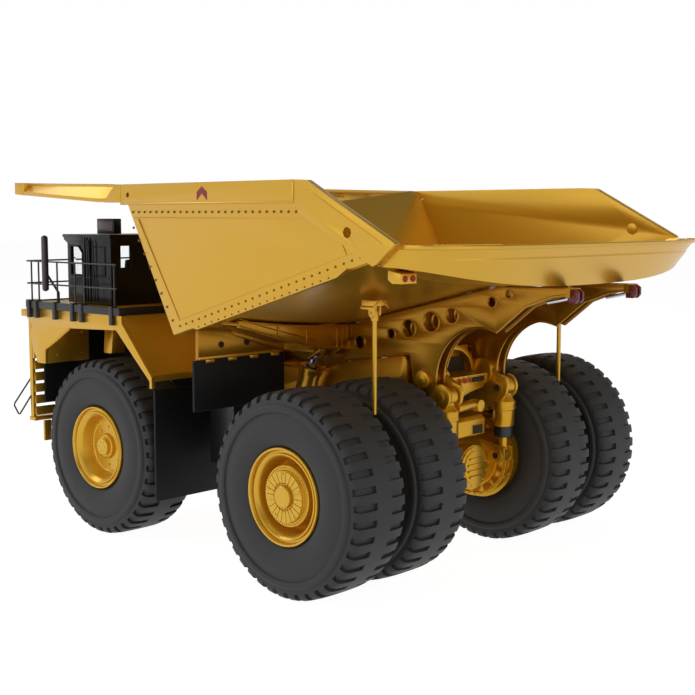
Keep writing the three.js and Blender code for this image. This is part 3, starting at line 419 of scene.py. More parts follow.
def tube(points, radius, sides=10):
    """A round bar along a line of points, with flat ends; radius may change along it."""
    path = [spot(*p) for p in points]
    radii = [radius] * len(path) if isinstance(radius, (int, float)) else radius
    verts = []
    across = None
    for i, here in enumerate(path):
        before = path[max(0, i - 1)]
        after = path[min(len(path) - 1, i + 1)]
        along = (after - before).normalized()
        across = along.orthogonal() if across is None else across - along * across.dot(along)
        across.normalize()
        other = along.cross(across)
        for k in range(sides):
            turn = 2 * math.pi * k / sides
            verts.append(here + (across * math.cos(turn) + other * math.sin(turn)) * radii[i] * MM)
    ends = [tuple(range(sides)), tuple(range((len(path) - 1) * sides, len(path) * sides))]
    return verts, band_faces(len(path), sides) + ends


def rod(x, y, z, radius, sides=10):
    """A straight round bar; the direction that it runs in is given as a pair, from and to."""
    ends = [[v[k] if isinstance(v, tuple) else v for v in (x, y, z)] for k in (0, 1)]
    return tube(ends, radius, sides)


def stud(place, facing, radius, height, sides=8):
    """A rivet or bolt head standing on a surface at a point."""
    out = Vector(facing).normalized()
    across = out.orthogonal().normalized()
    other = out.cross(across)
    base = spot(*place)
    verts = []
    for rise, share in ((-0.3, 1.0), (height * 0.55, 1.0), (height * 0.9, 0.72)):
        for k in range(sides):
            turn = 2 * math.pi * k / sides
            reach = (across * math.cos(turn) + other * math.sin(turn)) * radius * share
            verts.append(base + (out * rise + reach) * MM)
    verts.append(base + out * height * MM)
    dome = [(2 * sides + k, 2 * sides + (k + 1) % sides, 3 * sides) for k in range(sides)]
    return verts, band_faces(3, sides) + dome + [tuple(range(sides))]


def between(start, end, count):
    """Evenly spaced points from one to the other, both included."""
    return [tuple(a + (b - a) * i / (count - 1) for a, b in zip(start, end)) for i in range(count)]


def add_casting(name, shells, material, body="chassis", stands_for=(), angle=32.0,
                bevel=0.0):
    """A piece made of one or more closed shells, fixed to a body of the frame."""
    return link_piece(name, joined_mesh(name, shells, angle, bevel), body, material, stands_for)


SIDE_X = extent("bed_side_left")[0][1] - 1.5
RAIL_FACE = SIDE_X + 1.5
SIDE_FOOT = (-62.6, 97.7)
SIDE_SLOPE = 0.301
SEAM_Y = 44.0
STRIP_HEIGHT = 5.2
LEDGE_Z = 144.9
LEDGE_HALF = 0.22

red_enamel = coated("red_enamel", (0.45, 0.012, 0.010), 0.35, coat=0.2)
# A near-black brown put into holes and openings: painted shade where a hole or recess falls dark.
hole_shade = coated("hole_shade", (0.03, 0.016, 0.004), 0.8)
# A deep brown copy of the yellow enamel for the rivets: painted shade round each rivet head.
rivet_shade_enamel = coated("rivet_shade_enamel", (0.24, 0.11, 0.010), 0.5, metallic=0.2)


def side_foot_z(y):
    return SIDE_FOOT[1] + SIDE_SLOPE * (y - SIDE_FOOT[0])


def side_rivets(side):
    """The rows of rivets on one side; fine ledges, built apart, run beside them."""
    face = side * SIDE_X
    out = (side, 0, 0)
    rivets = []
    for y, z in between((-88.5, 147.4), (13.0, 147.4), 27):
        rivets.append(stud((face, y, z), out, 0.52, 0.3))
    for y, z in between((-88.3, 141.0), (-63.2, 103.6), 8):
        rivets.append(stud((face, y, z), out, 0.55, 0.3))
    for y in np.linspace(-58.5, 41.0, 26):
        rivets.append(stud((face, y, side_foot_z(y) + 2.7), out, 0.48, 0.3))
    for y in np.linspace(-45.0, 27.0, 19):
        rivets.append(stud((side * RAIL_FACE, y, side_foot_z(y) - 0.7), out, 0.4, 0.2))
    return rivets


def side_ledges(side):
    span = (side * (SIDE_X - 0.3), side * (SIDE_X + 0.28))
    low_z, top_z = LEDGE_Z - LEDGE_HALF, LEDGE_Z + LEDGE_HALF
    under_rail = prism([(-87.9, low_z), (19.5, low_z), (18.8, top_z), (-88.2, top_z)], span)
    front = prism([(-85.2, 144.6), (-84.7, 144.6), (-58.4, 103.9), (-58.9, 103.9)], span)
    low = [(y, side_foot_z(y) + STRIP_HEIGHT) for y in (-59.0, 43.0)]
    foot = prism([low[0], low[1], (low[1][0], low[1][1] + 0.45), (low[0][0], low[0][1] + 0.45)], span)
    crease = prism([(y, side_foot_z(y) + STRIP_HEIGHT) for y in (34.2, 34.7)] + [(32.0, 136.6),
            (31.7, 136.6)], span)
    lip_face = side * (SIDE_X + 1.3)
    lip = tube([(lip_face, 16.0, 158.4), (lip_face, 57.6, 136.7)], 0.34, 6)
    low_lip = tube([(side * RAIL_FACE, 17.0, 155.2), (side * RAIL_FACE, 52.4, 136.4)], 0.26, 6)
    plug = rod((side * (SIDE_X - 2.1), side * (SIDE_X - 1.4)), 36.0, 140.1, 2.5, 24)
    return [under_rail, front, foot, crease, lip, low_lip, plug]


def rail_cap(side):
    """The raised bead along the rail's lower corner, and the cap where the rail ends."""
    face = side * RAIL_FACE
    bead = rod(face, (-95.0, 8.0), 150.9, 0.42, 8)
    cap = prism([(7.6, 150.6), (8.6, 150.4), (9.4, 151.2), (9.6, 158.0), (8.8, 158.9), (7.6, 158.9)],
                (side * SIDE_X, side * (SIDE_X + 1.75)))
    return [bead, cap]


for side_name, side in SIDES:
    node = "bed_side_" + side_name
    eye = rod((side * (SIDE_X - 4), side * (SIDE_X + 4)), -90.0, 154.6, 1.05, 16)
    recast(node, yellow_enamel, 0.3, (eye,))
    # The rivets are painted in the deep brown enamel, painted shade on the side plates.
    add_casting("side_rivets_" + side_name, side_rivets(side), rivet_shade_enamel, body="bed")
    add_casting("side_ledges_" + side_name, side_ledges(side) + rail_cap(side), yellow_enamel,
                body="bed", bevel=0.08)
    mark = prism([(-42.0, 157.4), (-38.9, 155.2), (-38.9, 151.9), (-42.0, 154.6), (-45.1, 151.9),
                  (-45.1, 155.2)],
                 (side * (SIDE_X + 1.45), side * (SIDE_X + 1.55)))
    add_casting("red_mark_" + side_name, [mark], red_enamel, body="bed")


# ---------------------------------------------------------------- bed tail
# The floor of the bed sweeps up at the back into a deep lip, rounded in plan, whose lower edge
# is crisp in the middle and climbs towards the corners. A narrow flange runs along its top.
TAIL_HALF = SIDE_X - 3.0
TAIL_CORNER_Y = 58.0
TAIL_DEPTH = 26.0
TAIL_LIP_Z = 136.0
TAIL_FOOT_BACK = 9.0
FLOOR_THICKNESS = 3.5
INNER_X = SIDE_X - 1.4
KEEL = [(-64.0, 97.2), (-43.0, 98.7), (-29.8, 100.1), (7.3, 109.4), (34.4, 116.2), (48.5, 119.3),
        (90.0, 120.0)]


def keel_z(y):
    return float(np.interp(y, [p[0] for p in KEEL], [p[1] for p in KEEL]))


def belly_z(x, y):
    share = min(1.0, abs(x) / SIDE_X) ** 2.2
    return keel_z(y) + (side_foot_z(y) - keel_z(y)) * share


def lip_y(x):
    share = min(1.0, abs(x) / TAIL_HALF)
    return TAIL_CORNER_Y + TAIL_DEPTH * math.sqrt(1 - share ** 4)


def foot_z(x, foot):
    """Height of the tail's crisp lower edge."""
    share = (abs(x) / SIDE_X) ** 2.6
    return keel_z(foot) + (129.0 - keel_z(foot)) * share


def ringed_skin(name, rings, angle=30.0, bevel=0.0):
    """A closed skin through rings of points, capped at both ends."""
    count = len(rings[0])
    verts = [p for ring in rings for p in ring]
    ends = [tuple(range(count)), tuple(range((len(rings) - 1) * count, len(rings) * count))]
    return joined_mesh(name, [(verts, ends + band_faces(len(rings), count))], angle, bevel)


def tail_skin():
    rings = []
    for turn in np.linspace(-1.0, 1.0, 73):
        x = INNER_X * math.sin(math.pi / 2 * turn)
        lip = lip_y(x)
        foot = lip - TAIL_FOOT_BACK
        low = foot_z(x, foot)
        seam = SEAM_Y + 0.3
        face = (lip - foot) / (TAIL_LIP_Z - low)
        under = [(seam + (foot - 0.5 - seam) * s, belly_z(x, seam) + (low - belly_z(x,
                seam)) * s) for s in (0.0, 0.5, 0.97)]
        top = TAIL_LIP_Z
        outer = [(foot, low + 0.1), (foot + 0.25, low + 0.6),
                 (foot + face * (top - 5.2 - low), top - 5.2),
                 (foot + face * (top - 4.6 - low) - 0.5, top - 4.6), (lip - 1.6, top - 1.6),
                 (lip - 0.2, top - 1.4),
                 (lip, top - 1.1), (lip, top - 0.3), (lip - 0.3, top), (lip - 2.6, top),
                 (lip - 2.9, top - 0.3)]
        inner = [(foot - 2.3, low + FLOOR_THICKNESS + 0.8), (foot - 4.0, low + FLOOR_THICKNESS - 0.1),
                 (seam, belly_z(x, seam) + FLOOR_THICKNESS)]
        rings.append([spot(x, y, z) for y, z in under + outer + inner])
    return ringed_skin("tail_skin", rings, 24.0)


link_piece("tail_skin", tail_skin(), "bed", yellow_enamel, ("bed_tail",))


def lip_ribs():
    """Fine ribs across the top of the lip near each corner, where it is walked on."""
    ribs = []
    for side in (1, -1):
        for x in np.arange(66.0, 88.5, 1.5):
            y = lip_y(x)
            ribs.append(rod(side * x, (y - 2.6, y - 0.3), TAIL_LIP_Z + 0.05, 0.28, 6))
    return ribs


add_casting("lip_ribs", lip_ribs(), yellow_enamel, body="bed")


# ---------------------------------------------------------------- bed floor, front wall, canopy
# The floor is a shallow V of plate that is folded up at the sides. The front wall leans forward
# under the canopy, a ribbed roof over the deck with deep flanges along its two edges.

def floor_skin():
    rings = []
    for y in [SIDE_FOOT[0] + 1.8, -50.0, -43.0, -36.0, -29.8, -18.0, -5.0, 7.3, 20.0, 34.4, SEAM_Y]:
        across = np.linspace(-INNER_X, INNER_X, 41)
        under = [spot(x, y, belly_z(x, y)) for x in across]
        over = [spot(x, y, belly_z(x, y) + FLOOR_THICKNESS) for x in across[::-1]]
        rings.append(under + over)
    return ringed_skin("floor_skin", rings, 30.0)


link_piece("floor_skin", floor_skin(), "bed", yellow_enamel, ("bed_floor",))


WALL_TOP = extent("bed_front_wall")[1][0]
CANOPY_TIP, CANOPY_REAR = extent("canopy")[1]
FLANGE_X = 96.5
WALL_FOOT_FRONT = SIDE_FOOT[0] - 1.6
WALL_FOOT_BACK = SIDE_FOOT[0] + 2.6


def wall_skin():
    """The leaning front wall, whose top edge dips to a shallow V in the middle."""
    rings = []
    for x in (-INNER_X, -86.0, -61.0, -36.0, -18.0, 0.0, 18.0, 36.0, 61.0, 86.0, INNER_X):
        top = float(np.interp(abs(x), (0.0, 36.0, 86.0), (148.7, 153.5, 158.8)))
        outer = float(np.interp(top, (99.1, 155.5), (WALL_FOOT_FRONT, WALL_TOP)))
        inner = float(np.interp(top, (99.7, 150.8, 159.0), (WALL_FOOT_BACK, WALL_TOP + 6.0,
                                                            WALL_TOP + 2.0)))
        ring = [(WALL_FOOT_FRONT, 99.1), (outer, top), (inner, top), (WALL_FOOT_BACK, 99.7),
                (SIDE_FOOT[0] + 0.4, 97.7)]
        rings.append([spot(x, y, z) for y, z in ring])
    return ringed_skin("wall_skin", rings, 30.0, 0.2)


link_piece("wall_skin", wall_skin(), "bed", yellow_enamel, ("bed_front_wall",))


def slab(x, y, z):
    """A plain rectangular block between pairs of sizes."""
    return prism([(y[0], z[0]), (y[1], z[0]), (y[1], z[1]), (y[0], z[1])], x)


def flange_skin(side):
    """A deep flange whose outer face leans inwards to catch the light."""
    rings = []
    for y, low, top in ((CANOPY_TIP + 7.0, 155.4, 160.9), (-112.0, 151.8, 159.6),
                        (CANOPY_REAR - 3.0, 151.7, 159.1)):
        ring = [(90.8, low), (96.4, low), (FLANGE_X, low + 1.5), (93.4, top - 1.2), (93.6, top - 0.2),
                (92.6, top), (90.8, top)]
        rings.append([spot(side * x, y, z) for x, z in ring])
    return rings


def canopy_roof():
    tip, rear = CANOPY_TIP, CANOPY_REAR
    shells = [prism([(tip, 158.9), (tip, 161.2), (rear, 159.0), (rear, 156.9)], (-93.0, 93.0)),
              slab((-90.9, 90.9), (tip + 0.1, tip + 1.8), (156.0, 161.1))]
    for x in np.linspace(-60.0, 60.0, 7):
        shells.append(prism([(tip + 1.0, 157.0), (tip + 1.0, 160.0), (rear - 1.0, 158.0),
                             (rear - 1.0, 155.2)], (x - 0.8, x + 0.8)))
    for side in (1, -1):
        shells += [prism([(tip, 155.9), (tip, 161.2), (tip + 7.6, 160.9), (tip + 7.6, 155.3)],
                         (side * 90.8, side * FLANGE_X)),
                   prism([(rear, 151.6), (rear, 159.0), (rear - 3.4, 159.1), (rear - 12.0, 152.0),
                          (rear - 12.0, 151.6)], (side * 91.0, side * FLANGE_X)),
                   prism([(side * 84.0, 159.0), (side * 93.0, 155.0), (side * 93.0, 159.2)],
                         (rear - 2.0, rear), "y")]
    return shells


add_casting("canopy_roof", canopy_roof(), yellow_enamel, body="bed", stands_for=("canopy",), bevel=0.25)
for side_name, side in SIDES:
    link_piece("canopy_flange_" + side_name, ringed_skin("canopy_flange", flange_skin(side), 30.0,
                                                         0.15), "bed",
               yellow_enamel)
# ---------------------------------------------------------------- tyres
# Solid black rubber tyres, moulded in one piece: a plain sidewall with two raised rings, and
# a tread whose shoulders are notched all round, the notches of one side halfway between the
# other side's.
TYRE_WIDTH = 29.4
TYRE_RADIUS = 40.3
BEAD_RADIUS = 18.8
NOTCHES = 40
NOTCH_DEPTH = 1.15
NOTCH_REACH = 10.6


def rubber(name, color, roughness, gloss=0.5):
    material = bpy.data.materials.new(name)
    material.use_nodes = True
    tree = material.node_tree
    shader = tree.nodes["Principled BSDF"]
    shader.inputs["Specular IOR Level"].default_value = gloss
    grain = noise_node(tree, 1800.0, 4.0, 0.6)
    cloud = noise_node(tree, 45.0, 3.0)
    ramp = tree.nodes.new("ShaderNodeMapRange")
    ramp.inputs["To Min"].default_value = roughness - 0.07
    ramp.inputs["To Max"].default_value = roughness + 0.07
    tree.links.new(cloud.outputs["Fac"], ramp.inputs["Value"])
    tree.links.new(ramp.outputs["Result"], shader.inputs["Roughness"])
    tint = tree.nodes.new("ShaderNodeMixRGB")
    tint.inputs["Color1"].default_value = (*[c * 0.85 for c in color], 1.0)
    tint.inputs["Color2"].default_value = (*[c * 1.15 for c in color], 1.0)
    tree.links.new(cloud.outputs["Fac"], tint.inputs["Fac"])
    tree.links.new(tint.outputs["Color"], shader.inputs["Base Color"])
    bump = tree.nodes.new("ShaderNodeBump")
    bump.inputs["Strength"].default_value = 0.25
    bump.inputs["Distance"].default_value = 0.00008
    tree.links.new(grain.outputs["Fac"], bump.inputs["Height"])
    tree.links.new(bump.outputs["Normal"], shader.inputs["Normal"])
    return material


tyre_rubber = rubber("tyre_rubber", (0.047, 0.047, 0.048), 0.62, gloss=0.45)
sheet_rubber = rubber("sheet_rubber", (0.009, 0.009, 0.0095), 0.55, gloss=0.22)


def tyre_section():
    """Half of the section, from the middle of the tread to the bead: (across, radius, notched)."""
    h = TYRE_WIDTH / 2
    r = TYRE_RADIUS
    start = h - NOTCH_REACH
    return [
        (0.0, r, 0), (start - 0.12, r - 0.02, 0), (start, r - 0.02, 1), (h - 7.0, r - 0.12, 1),
        (h - 4.0, r - 0.4, 1),
        (h - 2.7, r - 0.95, 1), (h - 1.9, r - 1.9, 1), (h - 1.5, r - 3.0, 1), (h - 1.42, r - 3.3, 0),
        (h - 1.4, r - 4.5, 0), (h - 1.35, r - 5.0, 0), (h - 0.7, r - 5.3, 0), (h - 0.4, r - 5.8, 0),
        (h - 0.3, r - 7.4, 0), (h - 0.5, r - 7.9, 0), (h - 1.05, r - 8.2, 0), (h - 1.0, r - 8.6, 0),
        (h - 0.6, r - 10.5, 0), (h - 0.35, r - 13.0, 0), (h - 0.5, r - 15.5, 0), (h - 0.9, r - 18.0, 0),
        (h - 1.5, r - 20.2, 0), (h - 2.4, BEAD_RADIUS + 0.4, 0), (h - 3.2, BEAD_RADIUS - 0.1, 0),
    ]


def tyre_mesh(name, centre):
    """The tyre at its place: each ring of the section follows the notches round the wheel."""
    half = tyre_section()
    section = [(-x, r, -n) for x, r, n in reversed(half)] + half[1:]
    across = np.array([p[0] for p in section])
    radius = np.array([p[1] for p in section])
    side = np.array([p[2] for p in section])
    run = np.gradient(across)
    rise = np.gradient(radius)
    length = np.hypot(run, rise)
    normal = np.stack([-rise / length, run / length], 1)
    steps = np.array([0.02, 0.045, 0.24, 0.43, 0.455, 0.52, 0.545, 0.74, 0.93, 0.955])
    turns = (np.arange(NOTCHES)[:, None] + steps[None, :]).ravel() / NOTCHES * 2 * np.pi
    left_low = np.tile((steps > 0.03) & (steps < 0.44), NOTCHES)
    right_low = np.tile((steps > 0.53) & (steps < 0.94), NOTCHES)
    verts = []
    for turn, in_left, in_right in zip(turns, left_low, right_low):
        sunk = np.where(side > 0, in_left, 0) + np.where(side < 0, in_right, 0)
        x = across - normal[:, 0] * sunk * NOTCH_DEPTH
        r = radius - normal[:, 1] * sunk * NOTCH_DEPTH
        verts.append(np.stack([centre[0] + x, centre[1] + r * np.sin(turn),
                               centre[2] - r * np.cos(turn)], 1))
    count = len(section)
    rings = len(turns)
    verts = np.concatenate(verts) * MM
    faces = []
    for i in range(rings):
        j = (i + 1) % rings
        for k in range(count - 1):
            faces.append((i * count + k, j * count + k, j * count + k + 1, i * count + k + 1))
        faces.append((i * count + count - 1, j * count + count - 1, j * count, i * count))
    mesh = bpy.data.meshes.new(name)
    mesh.from_pydata(verts.tolist(), [], faces)
    bm = bmesh.new()
    bm.from_mesh(mesh)
    bmesh.ops.recalc_face_normals(bm, faces=bm.faces[:])
    bm.to_mesh(mesh)
    bm.free()
    return soften(mesh, 38.0)


def middle(node):
    low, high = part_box(node)
    return [(a + b) / 2 / MM for a, b in zip(low, high)]


for tyre_node in ("front_tyre_left", "front_tyre_right", "rear_outer_tyre_left",
                  "rear_outer_tyre_right",
                  "rear_inner_tyre_left", "rear_inner_tyre_right"):
    tread = tyre_mesh(tyre_node + "_tread", middle(tyre_node))
    link_piece(tyre_node + "_rubber", tread, BODY_OF[tyre_node], tyre_rubber, (tyre_node,))


# ---------------------------------------------------------------- rims and hubs
# Die-cast rims pressed into the tyres. The front ones are dishes with a ring of small bolts
# round the disc and a stepped hub cap; the rear ones hold a grooved cover over the final drive.

rim_enamel = coated("rim_enamel", (0.82, 0.49, 0.032), 0.34, coat=0.15, metallic=0.5)


def wheel_point(centre, out, radius, turn):
    """A point on a circle about a wheel's axle, at a distance out from the wheel's middle."""
    place = (centre[0] + out, centre[1] + radius * math.cos(turn), centre[2] + radius * math.sin(turn))
    return tuple(v * MM for v in place)


def turned(profile, centre, side, segments=96):
    """A turned skin about the wheel's axis; profile is (distance outwards, radius)."""
    verts = []
    for i in range(segments):
        turn = 2 * math.pi * i / segments
        verts.extend(wheel_point(centre, side * out, r, turn) for out, r in profile)
    return verts, band_faces(segments, len(profile), ring_closed=False, turn_closed=True)


def studs(centre, side, out, ring_radius, count, radius, height, phase=0.0, sides=6):
    """A ring of small studs that stand out of a wheel's face."""
    verts = []
    faces = []
    for i in range(count):
        turn = 2 * math.pi * (i + phase) / count
        y = centre[1] + ring_radius * math.cos(turn)
        z = centre[2] + ring_radius * math.sin(turn)
        base = len(verts)
        for h, scale in ((-0.3, 1.0), (height * 0.8, 1.0), (height, 0.7)):
            for k in range(sides):
                a = 2 * math.pi * k / sides + turn
                verts.append(((centre[0] + side * (out + h)) * MM,
                              (y + radius * scale * math.cos(a)) * MM,
                              (z + radius * scale * math.sin(a)) * MM))
        ends = [tuple(range(2 * sides, 3 * sides)), tuple(range(sides))]
        faces += [tuple(base + v for v in face) for face in band_faces(3, sides) + ends]
    return verts, faces


def petals(centre, side, out, inner, outer, count, gap, height):
    """Low wedges on a wheel's face, with a narrow groove between neighbours."""
    verts = []
    faces = []
    for i in range(count):
        start = 2 * math.pi * i / count
        end = 2 * math.pi * (i + 1) / count
        corners = [(inner, start + gap / inner), (inner, end - gap / inner), (outer, end - gap / outer),
                   (outer, (start + end) / 2), (outer, start + gap / outer)]
        base = len(verts)
        for h in (-0.2, height):
            for r, turn in corners:
                verts.append(wheel_point(centre, side * (out + h), r, turn))
        ends = [tuple(range(5)), tuple(range(5, 10))]
        faces += [tuple(base + v for v in face) for face in ends + band_faces(2, 5)]
    return verts, faces


def front_rim_shells(centre, side):
    h = TYRE_WIDTH / 2
    face = h - 14.0
    barrel = BEAD_RADIUS - 0.3
    skin = turned([
        (h - 4.1, 0.0), (h - 4.1, 3.5), (h - 4.4, 3.9), (h - 5.9, 4.0), (h - 5.9, 4.4), (h - 5.7, 4.9),
        (h - 6.1, 5.4),
        (h - 7.8, 5.8), (h - 8.0, 6.3), (h - 8.0, 11.5), (h - 7.7, 11.9), (h - 7.7, 13.2),
        (h - 7.3, 13.4),
        (h - 3.6, 14.2), (h - 2.8, 14.6), (h - 1.9, 15.6), (h - 1.5, 16.0), (h - 1.5, 16.4),
        (h - 2.4, 16.9),
        (h - 2.4, 17.6), (h - 1.4, 17.9), (h - 0.9, 18.2), (h - 0.9, 18.7), (h - 1.4, 18.9),
        (h - 2.6, barrel),
        (1.0 - h, barrel), (1.0 - h, 17.3), (face - 1.2, 17.3), (face - 1.2, 4.8), (face + 2.0, 4.8),
        (face + 2.0, 0.0)],
        centre, side)
    bolts = studs(centre, side, h - 7.7, 12.6, 44, 0.36, 0.5)
    hub_bolts = studs(centre, side, h - 8.0, 8.8, 8, 0.7, 0.5)
    cap = studs(centre, side, h - 4.1, 2.2, 6, 0.3, 0.2)
    return [skin, bolts, hub_bolts, cap]


def rear_hub_shells(centre, side):
    """Shells about the middle of the outer tyre; the hub reaches in to the inner tyre."""
    h = TYRE_WIDTH / 2
    inner_edge = middle("rear_inner_tyre_left")[0] - middle("rear_outer_tyre_left")[0] - h + 1.0
    web = middle("rear_inner_tyre_left")[0] - middle("rear_outer_tyre_left")[0] + h
    barrel = BEAD_RADIUS - 0.3
    skin = turned([
        (h - 0.9, 0.0), (h - 0.9, 3.6), (h - 1.3, 4.2), (h - 2.9, 4.5), (h - 2.9, 9.9), (h - 3.3, 10.1),
        (h - 3.7, 10.3), (h - 3.7, 11.6), (h - 4.0, 11.9), (h - 9.5, 12.1), (h - 11.0, 12.5),
        (h - 11.5, 13.2),
        (h - 11.0, 13.9), (h - 4.2, 14.8), (h - 3.2, 15.2), (h - 2.1, 15.9), (h - 1.9, 16.2),
        (h - 2.0, 16.6),
        (h - 2.9, 16.9), (h - 2.9, 17.5), (h - 1.8, 17.8), (h - 1.2, 18.1), (h - 1.2, 18.8),
        (h - 1.8, 19.0),
        (h - 3.0, barrel), (inner_edge, barrel), (inner_edge, 17.0), (web, 17.0), (web, 9.3),
        (h - 15.0, 9.3),
        (h - 15.0, 0.0)],
        centre, side)
    bolts = studs(centre, side, h - 3.7, 10.95, 60, 0.28, 0.35)
    wedges = petals(centre, side, h - 2.9, 5.6, 9.8, 22, 0.13, 0.6)
    buttons = studs(centre, side, h - 2.3, 8.8, 5, 0.5, 0.4, 0.3)
    marks = studs(centre, side, h - 2.9, 5.05, 22, 0.3, 0.6, 0.5)
    return [skin, bolts, wedges, buttons, marks]


for side_name, side in SIDES:
    rim = joined_mesh("front_rim_cast_" + side_name, front_rim_shells(middle("front_tyre_" + side_name),
                                                                      side))
    link_piece("front_rim_cast_" + side_name, rim, "wheel_front_" + side_name, rim_enamel,
               ("front_rim_" + side_name,))
    hub = joined_mesh("rear_hub_cast_" + side_name,
                      rear_hub_shells(middle("rear_outer_tyre_" + side_name), side))
    link_piece("rear_hub_cast_" + side_name, hub, "wheel_rear_" + side_name, rim_enamel,
               ("rear_hub_" + side_name,))


# ---------------------------------------------------------------- stringers and bolsters
# Two pressed webs with lightening holes carry the floor on each side. A tapered box beam with a
# ridged foot runs out from each pair to the side plate, with a rubber guard hung in front.
PIVOT = (10.5, 79.4)
WEBS = ((17.3, 18.5, 17.3), (22.5, 23.7, 23.7))
LIGHTENING = ((-25.5, 92.2, 2.8), (-7.7, 96.9, 2.1), (2.0, 99.8, 3.6), (13.9, 103.2, 4.1),
              (24.6, 106.3, 3.1),
              (44.3, 112.6, 2.0), (52.4, 116.1, 1.6))

maroon_enamel = coated("maroon_enamel", (0.22, 0.012, 0.020), 0.35, coat=0.2)
lamp_red = coated("lamp_red", (0.52, 0.040, 0.012), 0.55, drift=0.02, peel=0.02)
cable_steel = coated("cable_steel", (0.62, 0.62, 0.64), 0.32, metallic=1.0)


def ring_points(middle, radius, count=24):
    turns = [2 * math.pi * k / count for k in range(count)]
    return [(middle[0] + radius * math.cos(t), middle[1] + radius * math.sin(t)) for t in turns]


def plate(outline, span, holes=(), bevel=0.14):
    """A sheet cut to an outline in y and z, with round holes and softened edges, over a span of x."""
    curve = bpy.data.curves.new("plate", "CURVE")
    curve.dimensions = "2D"
    curve.fill_mode = "BOTH"
    for loop in [outline] + [ring_points(hole[:2], hole[2]) for hole in holes]:
        spline = curve.splines.new("POLY")
        spline.points.add(len(loop) - 1)
        for point, (a, b) in zip(spline.points, loop):
            point.co = (a * MM, b * MM, 0.0, 1.0)
        spline.use_cyclic_u = True
    curve.extrude = (abs(span[1] - span[0]) / 2 - bevel) * MM
    curve.bevel_depth = bevel * MM
    curve.bevel_resolution = 1
    curve.offset = -bevel * MM
    holder = bpy.data.objects.new("plate", curve)
    mesh = bpy.data.meshes.new_from_object(holder)
    bpy.data.objects.remove(holder)
    bm = bmesh.new()
    bm.from_mesh(mesh)
    bmesh.ops.remove_doubles(bm, verts=bm.verts[:], dist=0.004 * MM)
    bm.verts.index_update()
    middle = (span[0] + span[1]) / 2 * MM
    verts = [(middle + v.co.z, v.co.x + REAR_Y * MM, v.co.y) for v in bm.verts]
    faces = [tuple(v.index for v in face.verts) for face in bm.faces]
    bm.free()
    return verts, faces


def ring_lip(x, hole, radius=0.3):
    """The rolled edge round a hole in a web."""
    y, z, reach = hole
    sides = 6
    count = 28
    verts = []
    faces = []
    for k in range(count):
        turn = 2 * math.pi * k / count
        for s in range(sides):
            roll = 2 * math.pi * s / sides
            out = reach + 0.1 + radius * math.cos(roll)
            verts.append(spot(x + radius * math.sin(roll), y + out * math.cos(turn),
                              z + out * math.sin(turn)))
            n = (k + 1) % count
            m = (s + 1) % sides
            faces.append((k * sides + s, n * sides + s, n * sides + m, k * sides + m))
    return verts, faces


def arc(middle, reach, start, end, count):
    """Points round part of an ellipse, angles in turns of pi."""
    return [(middle[0] + reach[0] * math.cos(math.pi * t), middle[1] + reach[1] * math.sin(math.pi * t))
            for t in np.linspace(start, end, count)]


def stringer_web():
    top = [(y, keel_z(y) - 0.45) for y in (79.0, 48.0, 34.4, 7.3, -29.8, -43.0, -49.9)]
    low = [(-49.9, 84.8), (-45.6, 79.2), (-33.4, 83.9), (2.5, 89.2), (3.8, 82.4)]
    round_pin = arc(PIVOT, (6.5, 6.5), 1.02, 1.76, 12)
    leap = arc((39.0, 79.4), (22.5, 22.9), 0.98, 0.39, 18)
    return top + low + round_pin + [(16.5, 76.8)] + leap + [(60.0, 111.5), (71.5, 115.8), (78.9, 117.0)]


def edge_flange(side, x):
    """The narrow flange folded outward along the lower edge of a web."""
    low = [(-33.4, 83.9), (2.5, 89.2)]
    leap = arc((39.0, 79.4), (22.5, 22.9), 0.93, 0.39, 16) + [(60.0, 111.5), (71.5, 115.8),
                                                              (78.0, 116.8)]
    rolls = [tube([(side * x, y, z) for y, z in low], 0.5, 6),
             tube([(side * x, y, z) for y, z in leap], 0.45, 6)]
    return rolls


for side_name, side in SIDES:
    node = "stringer_" + side_name
    shells = []
    for inner, outer, open_face in WEBS:
        shells.append(plate(stringer_web(), (side * inner, side * outer), LIGHTENING))
        shells.extend(ring_lip(side * open_face, hole) for hole in LIGHTENING)
        shells.extend(edge_flange(side, open_face))
    for y, low, reach in ((35.0, 105.0, 0.9), (-19.0, 90.5, 0.9), (-49.2, 86.0, 0.8),
                          (19.4, 100.2, 0.6), (7.6, 96.0, 0.6),
                          (50.0, 112.0, 0.6), (61.0, 113.0, 0.6)):
        top = keel_z(y) - 0.9
        shells.append(slab((side * 17.6, side * 23.4), (y - reach, y + reach), (low, top)))
    shells += [slab((side * 17.0, side * 24.0), (78.0, 80.0), (115.9, keel_z(79) - 0.5)),
               tube([(side * 17.0, *PIVOT), (side * 24.2, *PIVOT)], 4.2, 24)]
    # The webs take the darker enamel: painted shade under the floor.
    add_casting(node + "_webs", shells, underside_shade_enamel, body="bed",
                stands_for=(node,))
    clevis = [prism([(78.0, 113.8), (81.4, 113.8), (82.6, 115.2), (82.6, 118.0), (81.2, 119.0),
                     (78.0, 119.0)],
                    (side * at, side * (at + 1.1))) for at in (18.4, 21.4)]
    clevis.append(rod((side * 17.9, side * 23.0), 80.6, 116.4, 0.8, 12))
    add_casting("tail_clevis_" + side_name, clevis, maroon_enamel, body="bed", bevel=0.15)
    strand = tube([(side * 20.5, 80.4, 116.4), (side * 20.5, 75.5, 115.0), (side * 20.5, 68.0, 113.4)],
                  0.7, 10)
    end = tube([(side * 20.5, 80.4, 116.4), (side * 20.5, 77.6, 115.7)], 1.1, 10)
    add_casting("tail_cable_" + side_name, [strand, end], cable_steel, body="bed")


